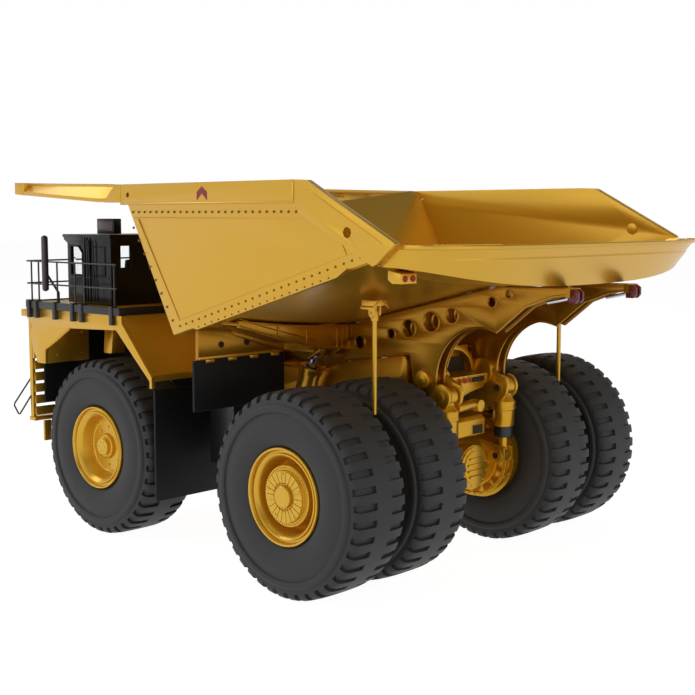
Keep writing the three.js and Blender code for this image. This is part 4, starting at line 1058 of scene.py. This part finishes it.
def bolster_ridge(side):
    """The folded foot of the cross beam, its closing plate, and ribs beside the stringer."""
    foot = [(24.4, 90.0), (30.0, 89.6), (44.0, 91.0), (60.0, 95.0), (74.0, 98.6), (87.0, 102.6)]
    skin = [(side * x, z + 0.2) for x, z in foot] + [(side * x, z + 1.5) for x, z in reversed(foot)]
    shells = [prism(skin, (-50.2, -32.0), "y"),
              tube([(side * x, -31.8, z + 0.3) for x, z in foot], 0.62, 8),
              tube([(side * x, -31.4, z + 3.0) for x, z in foot[2:]], 0.3, 6)]
    for x in (26.0, 29.0, 32.0):
        shells.append(slab((side * x, side * (x + 0.8)), (-32.0, -30.4), (90.2, 98.6)))
    for x in (50.0, 66.0):
        shells.append(slab((side * x, side * (x + 0.7)), (-32.0, -30.8),
                           (93.4 + (x - 50) * 0.25, 99.6 + (x - 50) * 0.1)))
    shells.append(rod(side * 24.2, (-38.6, -31.2), 90.4, 1.9, 16))
    return shells


for side_name, side in SIDES:
    # The bolsters and their ridges take the darker enamel: painted shade under the bed.
    recast("bolster_" + side_name, underside_shade_enamel, 0.25)
    add_casting("bolster_ridge_" + side_name, bolster_ridge(side), underside_shade_enamel, body="bed", bevel=0.12)
    recast("guard_flap_" + side_name, sheet_rubber, 0.2)
    # Near-black discs on the guard: painted shade of its ports.
    ports = [rod(side * x, (-50.9, -50.3), 93.6, 1.3, 20) for x in (66.0, 80.0)]
    add_casting("guard_ports_" + side_name, ports, hole_shade, body="bed")
    rim = prism([(side * 44.2, 88.1), (side * 91.8, 88.1), (side * 91.8, 89.1), (side * 44.2, 89.1)],
                (-52.5, -50.2), "y")
    clips = [slab((side * (x - 2.2), side * (x + 2.2)), (-51.2, -50.3), (86.6, 88.0)) for x in (50.0,
            62.0, 74.0, 86.0)]
    add_casting("guard_rim_" + side_name, [rim] + clips, yellow_enamel, body="bed", bevel=0.15)


def ejector_clevis(side):
    """Two ears with a hook between them, under a roof of two small wings."""
    x = side * 62.3
    y = 18.0
    peak = belly_z(62.3, 18.0) - 1.0
    shells = [prism([(x - 4.6, peak - 4.2), (x, peak - 1.4), (x + 4.6, peak - 4.2),
                     (x + 4.6, peak - 3.3),
                     (x, peak - 0.5), (x - 4.6, peak - 3.3)], (y - 3.2, y + 3.2), "y")]
    for at in (-2.0, 1.1):
        shells.append(prism([(y - 1.9, peak - 1.6), (y + 1.9, peak - 1.6), (y + 1.5, peak - 6.6),
                             (y, peak - 7.8),
                             (y - 1.5, peak - 6.6)], (x + at, x + at + 0.9)))
    shells += [rod((x - 2.4, x + 2.4), y, peak - 6.0, 0.6, 10),
               rod(x, y, (peak - 5.2, 71.0), 0.95, 12),
               rod(x, y, (peak - 5.0, peak - 8.8), 1.5, 12)]
    return shells


for side_name, side in SIDES:
    recast("rock_ejector_" + side_name, yellow_enamel, 0.15)
    add_casting("ejector_clevis_" + side_name, ejector_clevis(side), yellow_enamel, body="bed",
                bevel=0.12)


for side_name, side in SIDES:
    pod = prism([(50.0, 127.4), (50.0, 124.0), (52.0, 122.6), (56.0, 122.6), (56.0, 126.2)],
                (side * 82.4, side * 91.0))
    add_casting("lamp_pod_" + side_name, [pod], yellow_enamel, body="bed", bevel=0.3)
    lenses = [tube([(side * x, 55.8, 124.4), (side * x, 56.3, 124.4), (side * x, 56.6, 124.4)],
                   [1.15, 1.15, 0.7], 16)
              for x in (84.6, 88.7)]
    add_casting("pod_lamps_" + side_name, lenses, lamp_red, body="bed")


# ---------------------------------------------------------------- rear of the frame
# A casting closes the frame between the struts. It has an arched mouth, a bar with four red
# lamps and a black louvre, a tie rod with a round boss, and ears that hold the struts. Near-black
# sheets paint the shade behind the louvre, the window and the arched mouth.
# A darker, more saturated copy of the yellow enamel: part painted shade for the struts, rear casting, lamp bezels
# and axle under the bed.
half_shade_enamel = coated("half_shade_enamel", (0.66, 0.355, 0.010), 0.32, coat=0.05, metallic=0.65)


def lamp_bar():
    """The bar's front face drops towards the left; its underside is open to the dark inside."""
    face = [(14.6, 79.2), (14.6, 76.0), (10.0, 69.2), (-1.5, 72.2), (-9.2, 73.4), (-12.6, 76.2),
            (-12.6, 78.9), (-12.0, 79.2)]
    shells = [prism(face, (13.6, 15.4), "y"),
              prism([(-12.4, 77.8), (14.4, 77.8), (14.4, 79.2), (-12.4, 79.2)], (4.0, 15.0), "y")]
    rim = [(-1.2, 78.5), (-1.2, 75.9), (-9.3, 75.9), (-10.5, 78.5)]
    for a, b in zip(rim, rim[1:] + rim[:1]):
        shells.append(tube([(a[0], 15.5, a[1]), (b[0], 15.5, b[1])], 0.24, 6))
    return shells


def horn_castings():
    shells = lamp_bar()
    arch = arc((0.0, 79.0), (12.2, 10.4), 0.0, 1.0, 24)
    over = arc((0.0, 79.0), (14.4, 12.2), 1.0, 0.0, 24)
    shells += [prism(arch + over, (3.6, 7.2), "y"), slab((-14.2, 14.2), (1.6, 3.4), (63.0, 90.4)),
               tube([(16.9, 22.0, 67.9), (4.4, 22.0, 67.9)], [1.9, 1.45], 14),
               rod(2.4, (18.6, 23.6), 67.4, 2.5, 24), rod(2.4, (10.0, 19.0), 67.4, 1.7, 14),
               prism([(6.0, 53.8), (18.0, 53.8), (18.6, 54.4), (18.6, 60.6), (17.2, 62.2), (6.0, 64.6)],
                     (-6.6, 11.2))]
    window = [(-5.4, 54.6), (2.0, 54.6), (2.0, 58.6), (-5.4, 58.6)]
    for a, b in zip(window, window[1:] + window[:1]):
        shells.append(tube([(a[0], 18.6, a[1]), (b[0], 18.6, b[1])], 0.25, 6))
    shells.append(slab((-17.6, 17.6), (-15.8, 2.8), (63.2, 83.8)))
    for side in (1, -1):
        ear = [(3.0, 84.0), (10.0, 84.0), (15.0, 81.6), (19.4, 78.6), (23.4, 77.4), (24.4, 74.6),
               (23.6, 70.2), (20.4, 66.4),
               (11.6, 63.4), (3.0, 63.4)]
        shells.append(plate(ear, (side * 14.7, side * 16.6), bevel=0.3))
        outer = arc((19.0, 72.9), (4.6, 5.2), -0.6, 0.6, 18) + [(11.0, 74.0), (10.6, 67.4)]
        shells += [plate(outer, (side * 22.1, side * 23.6), bevel=0.3),
                   slab((side * 15.2, side * 23.6), (9.6, 12.6), (62.0, 74.0)),
                   rod((side * 14.5, side * 17.1), 19.0, 72.9, 2.9, 20),
                   rod((side * 21.9, side * 24.1), 19.0, 72.9, 1.9, 20),
                   tube([(side * 14.0, *PIVOT), (side * 17.2, *PIVOT)], 5.6, 28),
                   tube([(side * 23.8, *PIVOT), (side * 25.6, *PIVOT)], 3.6, 24),
                   tube([(side * 17.0, *PIVOT), (side * 25.9, *PIVOT)], 1.7, 20)]
    return shells


# Near-black sheets behind the louvre, the window and the arched mouth: painted shade in the openings.
def horn_shade_sheets():
    shells = [prism([(-1.5, 78.2), (-1.5, 76.1), (-9.1, 76.1), (-10.2, 78.2)], (15.2, 15.6), "y"),
              slab((-5.2, 1.8), (18.5, 18.8), (54.8, 58.4)),
              slab((-14.0, 14.0), (3.2, 4.0), (60.0, 77.6)),
              slab((-11.0, 11.0), (3.2, 3.8), (79.4, 86.0))]
    return shells


add_casting("horn_castings", horn_castings(), half_shade_enamel, stands_for=("rear_horn",), bevel=0.14)
add_casting("horn_shade_sheets", horn_shade_sheets(), hole_shade)
slats = [slab((-9.6 + k * 1.0, -9.2 + k * 1.0), (15.5, 15.9), (76.2, 78.1)) for k in range(8)]
add_casting("horn_slats", slats, black_enamel)
lamp_x = (10.9, 7.2, 3.6, 0.2)
bezels = [rod(x, (15.2, 15.8), 77.3, 1.5, 20) for x in lamp_x]
add_casting("lamp_bezels", bezels, half_shade_enamel, bevel=0.1)
lenses = [tube([(x, 15.7, 77.3), (x, 16.1, 77.3), (x, 16.4, 77.3)], [1.2, 1.15, 0.6],
               18) for x in lamp_x]
add_casting("tail_lamps", lenses, lamp_red)


# ---------------------------------------------------------------- rear struts and axle
# Each strut is a turned cylinder with a collar, a dark boot and a slim rod between round
# lugs. The axle housing is domed, with a ribbed hatch and webbed flanges at its ends.

def rounded_lug(x, y, z, reach, half):
    return rod((x - half, x + half), y, z, reach, 28)


def strut_shells(side):
    x = side * 19.5
    y = 19.0
    body = tube([(x, y, 69.4), (x, y, 67.4), (x, y, 66.9), (x, y, 63.2), (x, y, 62.8), (x, y, 56.4),
                 (x, y, 55.9)],
                [3.4, 4.4, 5.0, 5.0, 4.6, 4.6, 4.2], 32)
    stem = rod(x, y, (51.6, 43.0), 2.1, 20)
    shells = [body, stem, rounded_lug(x, y, 72.9, 4.2, 2.0), rounded_lug(x, y, 43.4, 3.0, 2.0),
              rod(x, y, (72.9, 68.0), 3.3, 20)]
    for z in (66.4, 64.0):
        shells.append(rod(x, y, (z - 0.25, z + 0.25), 5.25, 32))
    return shells


# The struts take the darker enamel, painted shade under the bed.
for side_name, side in SIDES:
    node = "rear_strut_" + side_name
    strut = joined_mesh(node + "_turned", strut_shells(side), 40.0)
    link_piece(node + "_turned", strut, "chassis", half_shade_enamel, (node,))
    boot = tube([(side * 19.5, 19.0, 56.2), (side * 19.5, 19.0, 55.8), (side * 19.5, 19.0, 51.8),
                 (side * 19.5, 19.0, 51.2)],
                [4.0, 4.3, 4.3, 3.9], 32)
    add_casting("strut_boot_" + side_name, [boot], black_enamel)
    # Near-black discs on the lug faces at the pins: painted shade in the pin bores.
    pins = []
    for z, reach in ((72.9, 1.3), (43.4, 1.0)):
        for out in (-1, 1):
            at = side * 19.5 + out * 2.0
            pins.append(rod((at - out * 0.3, at + out * 0.12), 19.0, z, reach, 18))
    pins += [rod((side * 13.6, side * 14.2), 19.0, 43.4, 1.3, 18),
             rod((side * 14.3, side * 14.8), 19.0, 72.9, 1.4, 18)]
    add_casting("strut_pins_" + side_name, pins, hole_shade)


def axle_shells():
    """The ribbed hatch, ring flanges with corner webs, and bolts round them."""
    shells = []
    for reach, back, front in ((8.9, 17.0, 18.6), (7.2, 18.4, 19.0)):
        shells.append(rod(0.0, (back, front), AXLE_Z, reach, 40))
    for k in range(4):
        z = AXLE_Z + 3.9 - 2.6 * k
        half = 5.6 - 1.1 * abs(k - 1.5)
        shells.append(slab((-half, half), (18.8, 19.6), (z - 0.4, z + 0.4)))
    for k in range(12):
        turn = 2 * math.pi * (k + 0.5) / 12
        shells.append(stud((8.1 * math.cos(turn), 18.5, AXLE_Z + 8.1 * math.sin(turn)), (0, 1, 0), 0.45,
                           0.4, 6))
    for side in (1, -1):
        shells += [plate(ring_points((0.0, AXLE_Z), 18.6, 56), (side * 22.4, side * 23.4),
                         ((0.0, AXLE_Z, 17.0),)),
                   plate(ring_points((0.0, AXLE_Z), 14.2, 48), (side * 21.4, side * 23.4),
                         ((0.0, AXLE_Z, 12.6),)),
                   rod((side * 26.4, side * 27.3), 0.0, AXLE_Z, 19.6, 56),
                   rod((side * 13.9, side * 15.2), 19.0, 43.4, 3.4, 24)]
        for k in range(16):
            turn = 2 * math.pi * k / 16
            rim = [(math.cos(turn + s) * r, math.sin(turn + s) * r + AXLE_Z) for s, r in
                   ((-0.05, 13.0), (0.05, 13.0), (0.035, 18.4), (-0.035, 18.4))]
            shells.append(prism(rim, (side * 22.6, side * 26.8)))
        for k in range(32):
            turn = 2 * math.pi * (k + 0.5) / 32
            shells.append(stud((side * 22.4, 17.8 * math.cos(turn), AXLE_Z + 17.8 * math.sin(turn)),
                               (-side, 0, 0),
                               0.42, 0.35, 6))
    return shells


# The axle housing and its fittings take the darker enamel, painted shade under the bed.
recast("rear_axle_housing", half_shade_enamel, 0.3)
add_casting("axle_fittings", axle_shells(), half_shade_enamel, bevel=0.1)


# ---------------------------------------------------------------- deck and fenders
# The deck has a black toe board and sockets along its edge. Each fender is a skirt with a
# slanted cut, a bulkhead behind the ladder and a wing swept down to the mud flap.
DECK_TOP = 105.6
DECK_EDGE = extent("deck")[0][1]
DECK_FRONT = extent("deck")[1][0] + 3.0
DECK_REAR = extent("deck")[1][1]
FENDER_FACE = 86.0
FRONT = FRONT_Y - REAR_Y
LEFT_POSTS = (FRONT - 40.1, FRONT - 24.6, FRONT - 10.2, FRONT - 3.1, FRONT + 19.9)
RIGHT_POSTS = (FRONT - 24.6, FRONT - 3.1, FRONT + 19.9)


def fender_shells(side):
    inner = side * 27.0
    edge = [(-46.2, 94.0), (-47.4, 90.0), (-46.4, 84.0), (-43.4, 79.0), (-42.0, 76.4), (-35.6, 76.4),
            (-35.2, 83.2), (-15.4, 94.4), (21.4, 95.8), (44.6, 75.6), (44.6, 72.2), (46.2, 72.2),
            (46.2, 77.2), (25.3, 99.2), (25.3, 102.9), (-48.6, 102.9), (-49.4, 98.0)]
    skirt = [(FRONT + y, z) for y, z in edge]
    fold = [(-36.0, 95.4), (21.6, 96.6), (45.4, 75.6), (45.4, 77.6), (25.2, 99.0), (25.2, 102.9),
            (22.6, 102.9), (22.6, 98.4), (-36.0, 97.0)]
    shells = [plate(skirt, (side * 85.2, side * 87.2), bevel=0.3),
              prism([(side * 62.3, 76.4), (side * FENDER_FACE, 76.4), (side * FENDER_FACE, 96.0),
                     (side * 62.3, 96.0)], (FRONT - 37.0, FRONT - 35.6), "y"),
              prism([(FRONT + y, z) for y, z in fold], (inner, side * FENDER_FACE)),
              slab((side * 60.0, side * FENDER_FACE), (FRONT - 48.0, FRONT - 46.6), (78.0, 102.9)),
              slab((inner, side * FENDER_FACE), (FRONT + 44.8, FRONT + 46.2), (75.2, 77.0)),
              tube([(side * 86.4, FRONT + 21.6, 95.9), (side * 86.4, FRONT + 44.6, 75.8)], 0.7, 8),
              tube([(side * 86.4, FRONT - 35.4, 83.3), (side * 86.4, FRONT - 15.4, 94.3)], 0.5, 8)]
    for x, z in ((80.0, 80.0), (66.0, 80.0), (80.0, 90.0), (66.0, 90.0)):
        shells.append(stud((side * x, FRONT - 35.6, z), (0, 1, 0), 0.5, 0.3))
    for x in np.linspace(36.0, 80.0, 12):
        shells.append(stud((side * x, FRONT + 38.8, 83.0), (0, 0.62, 0.78), 0.4, 0.3, 6))
    return shells


for side_name, side in SIDES:
    node = "fender_" + side_name
    add_casting(node + "_plates", fender_shells(side), yellow_enamel,
                stands_for=(node,), bevel=0.12)
    house = [slab((side * 42.0, side * 43.2), (FRONT - 47.0, FRONT + 44.0), (62.0, 96.0)),
             slab((side * 27.0, side * 61.0), (FRONT - 47.8, FRONT - 46.8), (52.0, 96.0))]
    add_casting("wheel_house_" + side_name, house, sheet_rubber, bevel=0.1)
    duct = [prism([(side * 60.0, 81.6), (side * 68.0, 81.6), (side * 67.0, 95.4), (side * 61.0, 95.4)],
                  (FRONT - 15.6, FRONT - 9.0), "y")]
    add_casting("brake_duct_" + side_name, duct, yellow_enamel, bevel=0.4)
    for flap in ("front_flap_", "wheel_flap_"):
        recast(flap + side_name, sheet_rubber, 0.2)


def deck_shells():
    edge = DECK_EDGE
    notch = DECK_FRONT + 2.0
    corner = [(edge - 4.0, DECK_FRONT), (edge - 4.0, notch), (69.0, notch), (69.0, DECK_FRONT)]
    outline = [(-edge, DECK_REAR), (-edge, DECK_FRONT)] + [(-x, y) for x, y in corner]
    outline += corner[::-1] + [(edge, DECK_FRONT), (edge, DECK_REAR)]
    shells = [prism(outline, (103.0, DECK_TOP - 0.2), "z"),
              slab((-25.0, 25.0), (DECK_REAR - 4.0, DECK_REAR), (94.0, 103.2))]
    for side in (1, -1):
        shells.append(slab((side * 17.0, side * 24.0), (FRONT + 20.4, FRONT + 24.4), (80.0, 103.2)))
        for y in np.linspace(DECK_FRONT + 4.0, DECK_REAR - 4.0, 14):
            shells.append(rod((side * 60.0, side * 84.0), y, DECK_TOP - 0.2, 0.16, 4))
    return shells


add_casting("deck_plates", deck_shells(), yellow_enamel, stands_for=("deck",), bevel=0.2)


def toe_boards(side, posts):
    """The black edge of the deck and the sockets that hold the posts."""
    edge = side * DECK_EDGE
    low = DECK_TOP - 3.2
    shells = [slab((edge - side * 0.9, edge + side * 0.5), (DECK_FRONT - 0.3, DECK_REAR + 0.3),
                   (low, DECK_TOP + 0.3)),
              slab((side * 20.0, edge), (DECK_FRONT - 0.6, DECK_FRONT + 0.5), (low, DECK_TOP + 0.3)),
              slab((side * 26.0, edge), (DECK_REAR - 0.6, DECK_REAR + 0.4), (low, DECK_TOP + 0.3))]
    for y in (DECK_FRONT + 2.4,) + tuple(posts):
        shells.append(slab((edge - side * 2.2, edge + side * 1.1), (y - 1.2, y + 1.2),
                           (98.0, DECK_TOP + 0.7)))
    for x in (36.0, 60.0):
        shells.append(slab((side * (x - 1.2), side * (x + 1.2)), (DECK_FRONT - 3.6, DECK_FRONT + 0.4),
                           (100.0, DECK_TOP + 0.8)))
    return shells


def deck_lamps(side):
    shells = []
    for x, z in ((77.0, 98.0), (84.6, 98.0), (82.0, 102.6)):
        shells.append(slab((side * (x - 2.8), side * (x + 2.8)), (DECK_FRONT - 6.6, DECK_FRONT - 0.4),
                           (z, z + 3.4)))
    shells.append(slab((side * 70.0, side * 87.0), (DECK_FRONT - 2.0, DECK_FRONT - 0.4), (97.0, 105.0)))
    return shells


for side_name, side, posts in (("left", 1, LEFT_POSTS), ("right", -1, RIGHT_POSTS)):
    add_casting("toe_boards_" + side_name, toe_boards(side, posts), black_enamel,
                bevel=0.25)
    add_casting("deck_lamps_" + side_name, deck_lamps(side), yellow_enamel, bevel=0.5)


# ---------------------------------------------------------------- ladders
# Wedge-shaped steps between flat stiles climb to the deck, all yellow, and on the left a bent
# black wire guard reaches ahead of them.

def ladder_steps(side):
    shells = []
    nose, tail = FRONT - 55.4, FRONT - 50.4
    for k in range(8):
        z = 50.0 + 5.6 * k
        wedge = [(nose, z - 0.4), (nose, z + 1.2), (tail - 1.0, z + 3.8), (tail, z - 0.4)]
        shells.append(prism(wedge, (side * 69.4, side * 83.0)))
    shells += [slab((side * 67.6, side * 84.4), (FRONT - 54.8, FRONT - 49.8), (47.0, 48.8)),
               slab((side * 77.6, side * 81.4), (FRONT - 47.6, FRONT - 46.2), (37.4, 47.2))]
    return shells


for side_name, side in SIDES:
    node = "ladder_" + side_name
    add_casting(node + "_steps", ladder_steps(side), yellow_enamel,
                stands_for=(node,), bevel=0.15)
    stiles = [slab((side * (x - 0.8), side * (x + 0.8)), (FRONT - 54.2, FRONT - 51.6),
                   (48.4, 101.0)) for x in (68.8, 83.2)]
    add_casting("ladder_stiles_" + side_name, stiles, yellow_enamel, bevel=0.15)
    if side > 0:
        guard = [(83.0, FRONT - 52.6, 69.6), (86.0, FRONT - 65.4, 54.2), (86.0, FRONT - 65.6, 53.0),
                 (86.0, FRONT - 62.0, 49.4), (86.0, FRONT - 60.8, 49.4), (84.0, FRONT - 53.6, 59.0)]
        add_casting("ladder_guard", [tube(guard, 0.42, 8)], black_enamel)


# ---------------------------------------------------------------- radiator
# A black core with a slatted grille and a header tank fills the front under the deck.

recast("radiator", black_enamel, 0.25)
(left, right), (face, _), (foot, head) = extent("radiator")
grille = []
for z in np.linspace(foot + 3.0, head - 3.0, 17):
    grille.append(slab((left + 2.5, right - 2.5), (face - 0.5, face + 0.3), (z - 0.45, z + 0.45)))
for x in (left + 1.6, 0.0, right - 1.6):
    grille.append(slab((x - 1.0, x + 1.0), (face - 0.9, face + 0.3), (foot + 1.0, head - 1.0)))
add_casting("grille", grille, black_enamel, bevel=0.12)


# ---------------------------------------------------------------- cab and deck furniture
# A glossy black cab with clear moulded windows stands on the left of the deck, with a sign box
# on its roof. Thin wire rails, mirrors and a louvred cabinet complete the deck.
CAB_X, (roof_front, cab_back), CAB_Z = extent("cab_shell")
CAB_Y = (roof_front + 3.0, cab_back)

gloss_black = coated("gloss_black", (0.005, 0.005, 0.005), 0.30, drift=0.02, peel=0.04, coat=0.1)
gloss_black.node_tree.nodes["Principled BSDF"].inputs["Specular IOR Level"].default_value = 0.3
seat_plastic = coated("seat_plastic", (0.03, 0.03, 0.034), 0.6)
mirror_shell = coated("mirror_shell", (0.045, 0.033, 0.040), 0.35, coat=0.2)
sign_red = coated("sign_red", (0.055, 0.002, 0.002), 0.3, coat=0.3)


def clear_plastic():
    material = bpy.data.materials.new("clear_plastic")
    material.use_nodes = True
    shader = material.node_tree.nodes["Principled BSDF"]
    shader.inputs["Base Color"].default_value = (0.93, 0.95, 0.95, 1.0)
    shader.inputs["Roughness"].default_value = 0.03
    shader.inputs["Transmission Weight"].default_value = 1.0
    shader.inputs["IOR"].default_value = 1.2
    return material


def cab_fittings():
    """The roof lip, door seams, gutters and grab bars on the cab."""
    out = CAB_X[1]
    shells = [slab((CAB_X[0] - 0.5, out + 0.5), (CAB_Y[0] - 3.0, CAB_Y[1] + 0.3),
                   (CAB_Z[1] - 1.3, CAB_Z[1] + 0.1))]
    rail_y = (CAB_Y[0] + 14.2, CAB_Y[0] + 16.0, CAB_Y[0] + 18.4)
    for y in rail_y:
        shells.append(slab((out - 0.2, out + 0.5), (y - 0.35, y + 0.35),
                           (CAB_Z[0] + 0.6, CAB_Z[1] - 1.4)))
    shells.append(slab((out - 0.2, out + 0.35), (CAB_Y[0] + 0.6, CAB_Y[1] - 1.0),
                       (CAB_Z[0] + 11.6, CAB_Z[0] + 12.3)))
    for y in (CAB_Y[0] + 19.6, CAB_Y[0] + 23.0):
        shells.append(tube([(out + 1.0, y, CAB_Z[0] + 1.0), (out + 1.0, y - 1.2, CAB_Z[1] - 2.4)], 0.38,
                           8))
    return shells


def window_seals():
    """Rolled rubber seals round the side window and the door window."""
    out = CAB_X[1] + 0.1
    sill = CAB_Z[0] + 13.0
    head = CAB_Z[1] - 5.4
    front = [(CAB_Y[0] + 3.2, sill), (CAB_Y[0] + 12.4, sill), (CAB_Y[0] + 12.4, head - 3),
             (CAB_Y[0] + 9.4, head),
             (CAB_Y[0] + 3.2, head)]
    rear = [(CAB_Y[0] + 16.6, sill), (CAB_Y[1] - 4.0, sill), (CAB_Y[1] - 4.0, head),
            (CAB_Y[0] + 16.6, head)]
    return [tube([(out, y, z) for y, z in seal + seal[:1]], 0.42, 8) for seal in (front, rear)]


rear_window = slab((68.6, 74.4), (CAB_Y[1] - 4.0, CAB_Y[1] + 2.0), (122.6, 132.4))
recast("cab_shell", gloss_black, 0.35, (rear_window,))
recast("cab_glass", clear_plastic(), 0.0)
recast("cab_seat", seat_plastic, 0.6)
add_casting("cab_fittings", cab_fittings(), gloss_black, bevel=0.12)
add_casting("window_seals", window_seals(), sheet_rubber)
recast("roof_sign", gloss_black, 0.35)
(_, right), (front, back), (foot, head) = extent("roof_sign")
sign = slab((right - 0.2, right + 0.12), (front + 1.0, back - 1.0), (foot + 1.2, head - 1.2))
add_casting("sign_face", [sign], sign_red, bevel=0.1)

recast("control_cabinet", yellow_enamel, 0.4)
(left, _), (_, back), (foot, head) = extent("control_cabinet")
vents = []
for z in np.linspace(foot + 5.0, head - 4.0, 9):
    for x in (-70.0, -56.0, -42.0):
        vents.append(slab((x - 5.4, x + 5.4), (back - 0.2, back + 0.35), (z - 0.5, z + 0.5)))
    vents.append(slab((left - 0.3, left + 0.2), (FRONT - 14.0, FRONT + 17.0), (z - 0.5, z + 0.5)))
add_casting("cabinet_vents", vents, yellow_enamel, bevel=0.15)


def fence(route, posts):
    """Two thin wires that overrun the last post, with a post at each socket."""
    shells = [tube([(x, y, z) for x, y in route], 0.4, 8) for z in (124.6, 114.0)]
    shells.extend(rod(x, y, (DECK_TOP, 124.8), 0.42, 8) for x, y in posts)
    return shells


def rounded_route(side, inner_x, edge, front):
    return [(side * inner_x, front), (edge - side * 1.6, front), (edge - side * 0.5, front + 0.5),
            (edge, front + 1.6),
            (edge, FRONT + 21.6)]


for side_name, side, posts, inner_x in (("left", 1, LEFT_POSTS, 6.0), ("right", -1, RIGHT_POSTS, 0.0)):
    edge = side * (DECK_EDGE - 1.5)
    front = DECK_FRONT - 2.6
    places = [(edge, DECK_FRONT + 2.4)] + [(edge, y) for y in posts] + [(side * x,
            front) for x in (60.0, 36.0, 6.0)]
    node = "handrail_" + side_name
    fence_mesh = joined_mesh(node + "_wires", fence(rounded_route(side, inner_x, edge, front), places),
                             50.0)
    link_piece(node + "_wires", fence_mesh, "chassis", black_enamel, (node,))
    x = side * (DECK_EDGE + 1.6)
    y = FRONT - 29.6
    arm = tube([(x - side * 7, y, DECK_TOP), (x - side * 7, y, 110.0), (x - side * 0.6, y, 119.4)],
               0.55, 10)
    add_casting("mirror_arm_" + side_name, [arm], black_enamel, angle=50.0)
    head = slab((x - 1.5, x + 1.5), (y - 1.5, y + 1.5), (111.0, 137.0))
    add_casting("mirror_head_" + side_name, [head], mirror_shell,
                stands_for=("mirror_" + side_name,), bevel=1.3)


# ---------------------------------------------------------------- hoists, knuckles and engine
# The lift cylinders have ringed barrels and bright rods. The dark castings of the steering and
# the engine sit in shadow inside the frame.
rod_chrome = coated("rod_chrome", (0.42, 0.42, 0.44), 0.26, drift=0.02, peel=0.03, metallic=1.0)

for side_name, side in SIDES:
    # The barrels take the darker enamel: painted shade inside the frame.
    recast("hoist_barrel_" + side_name, underside_shade_enamel, 0.3)
    recast("hoist_rod_" + side_name, rod_chrome, 0.15)
    recast("knuckle_" + side_name, black_enamel, 0.25)
recast("engine_block", black_enamel, 0.4)
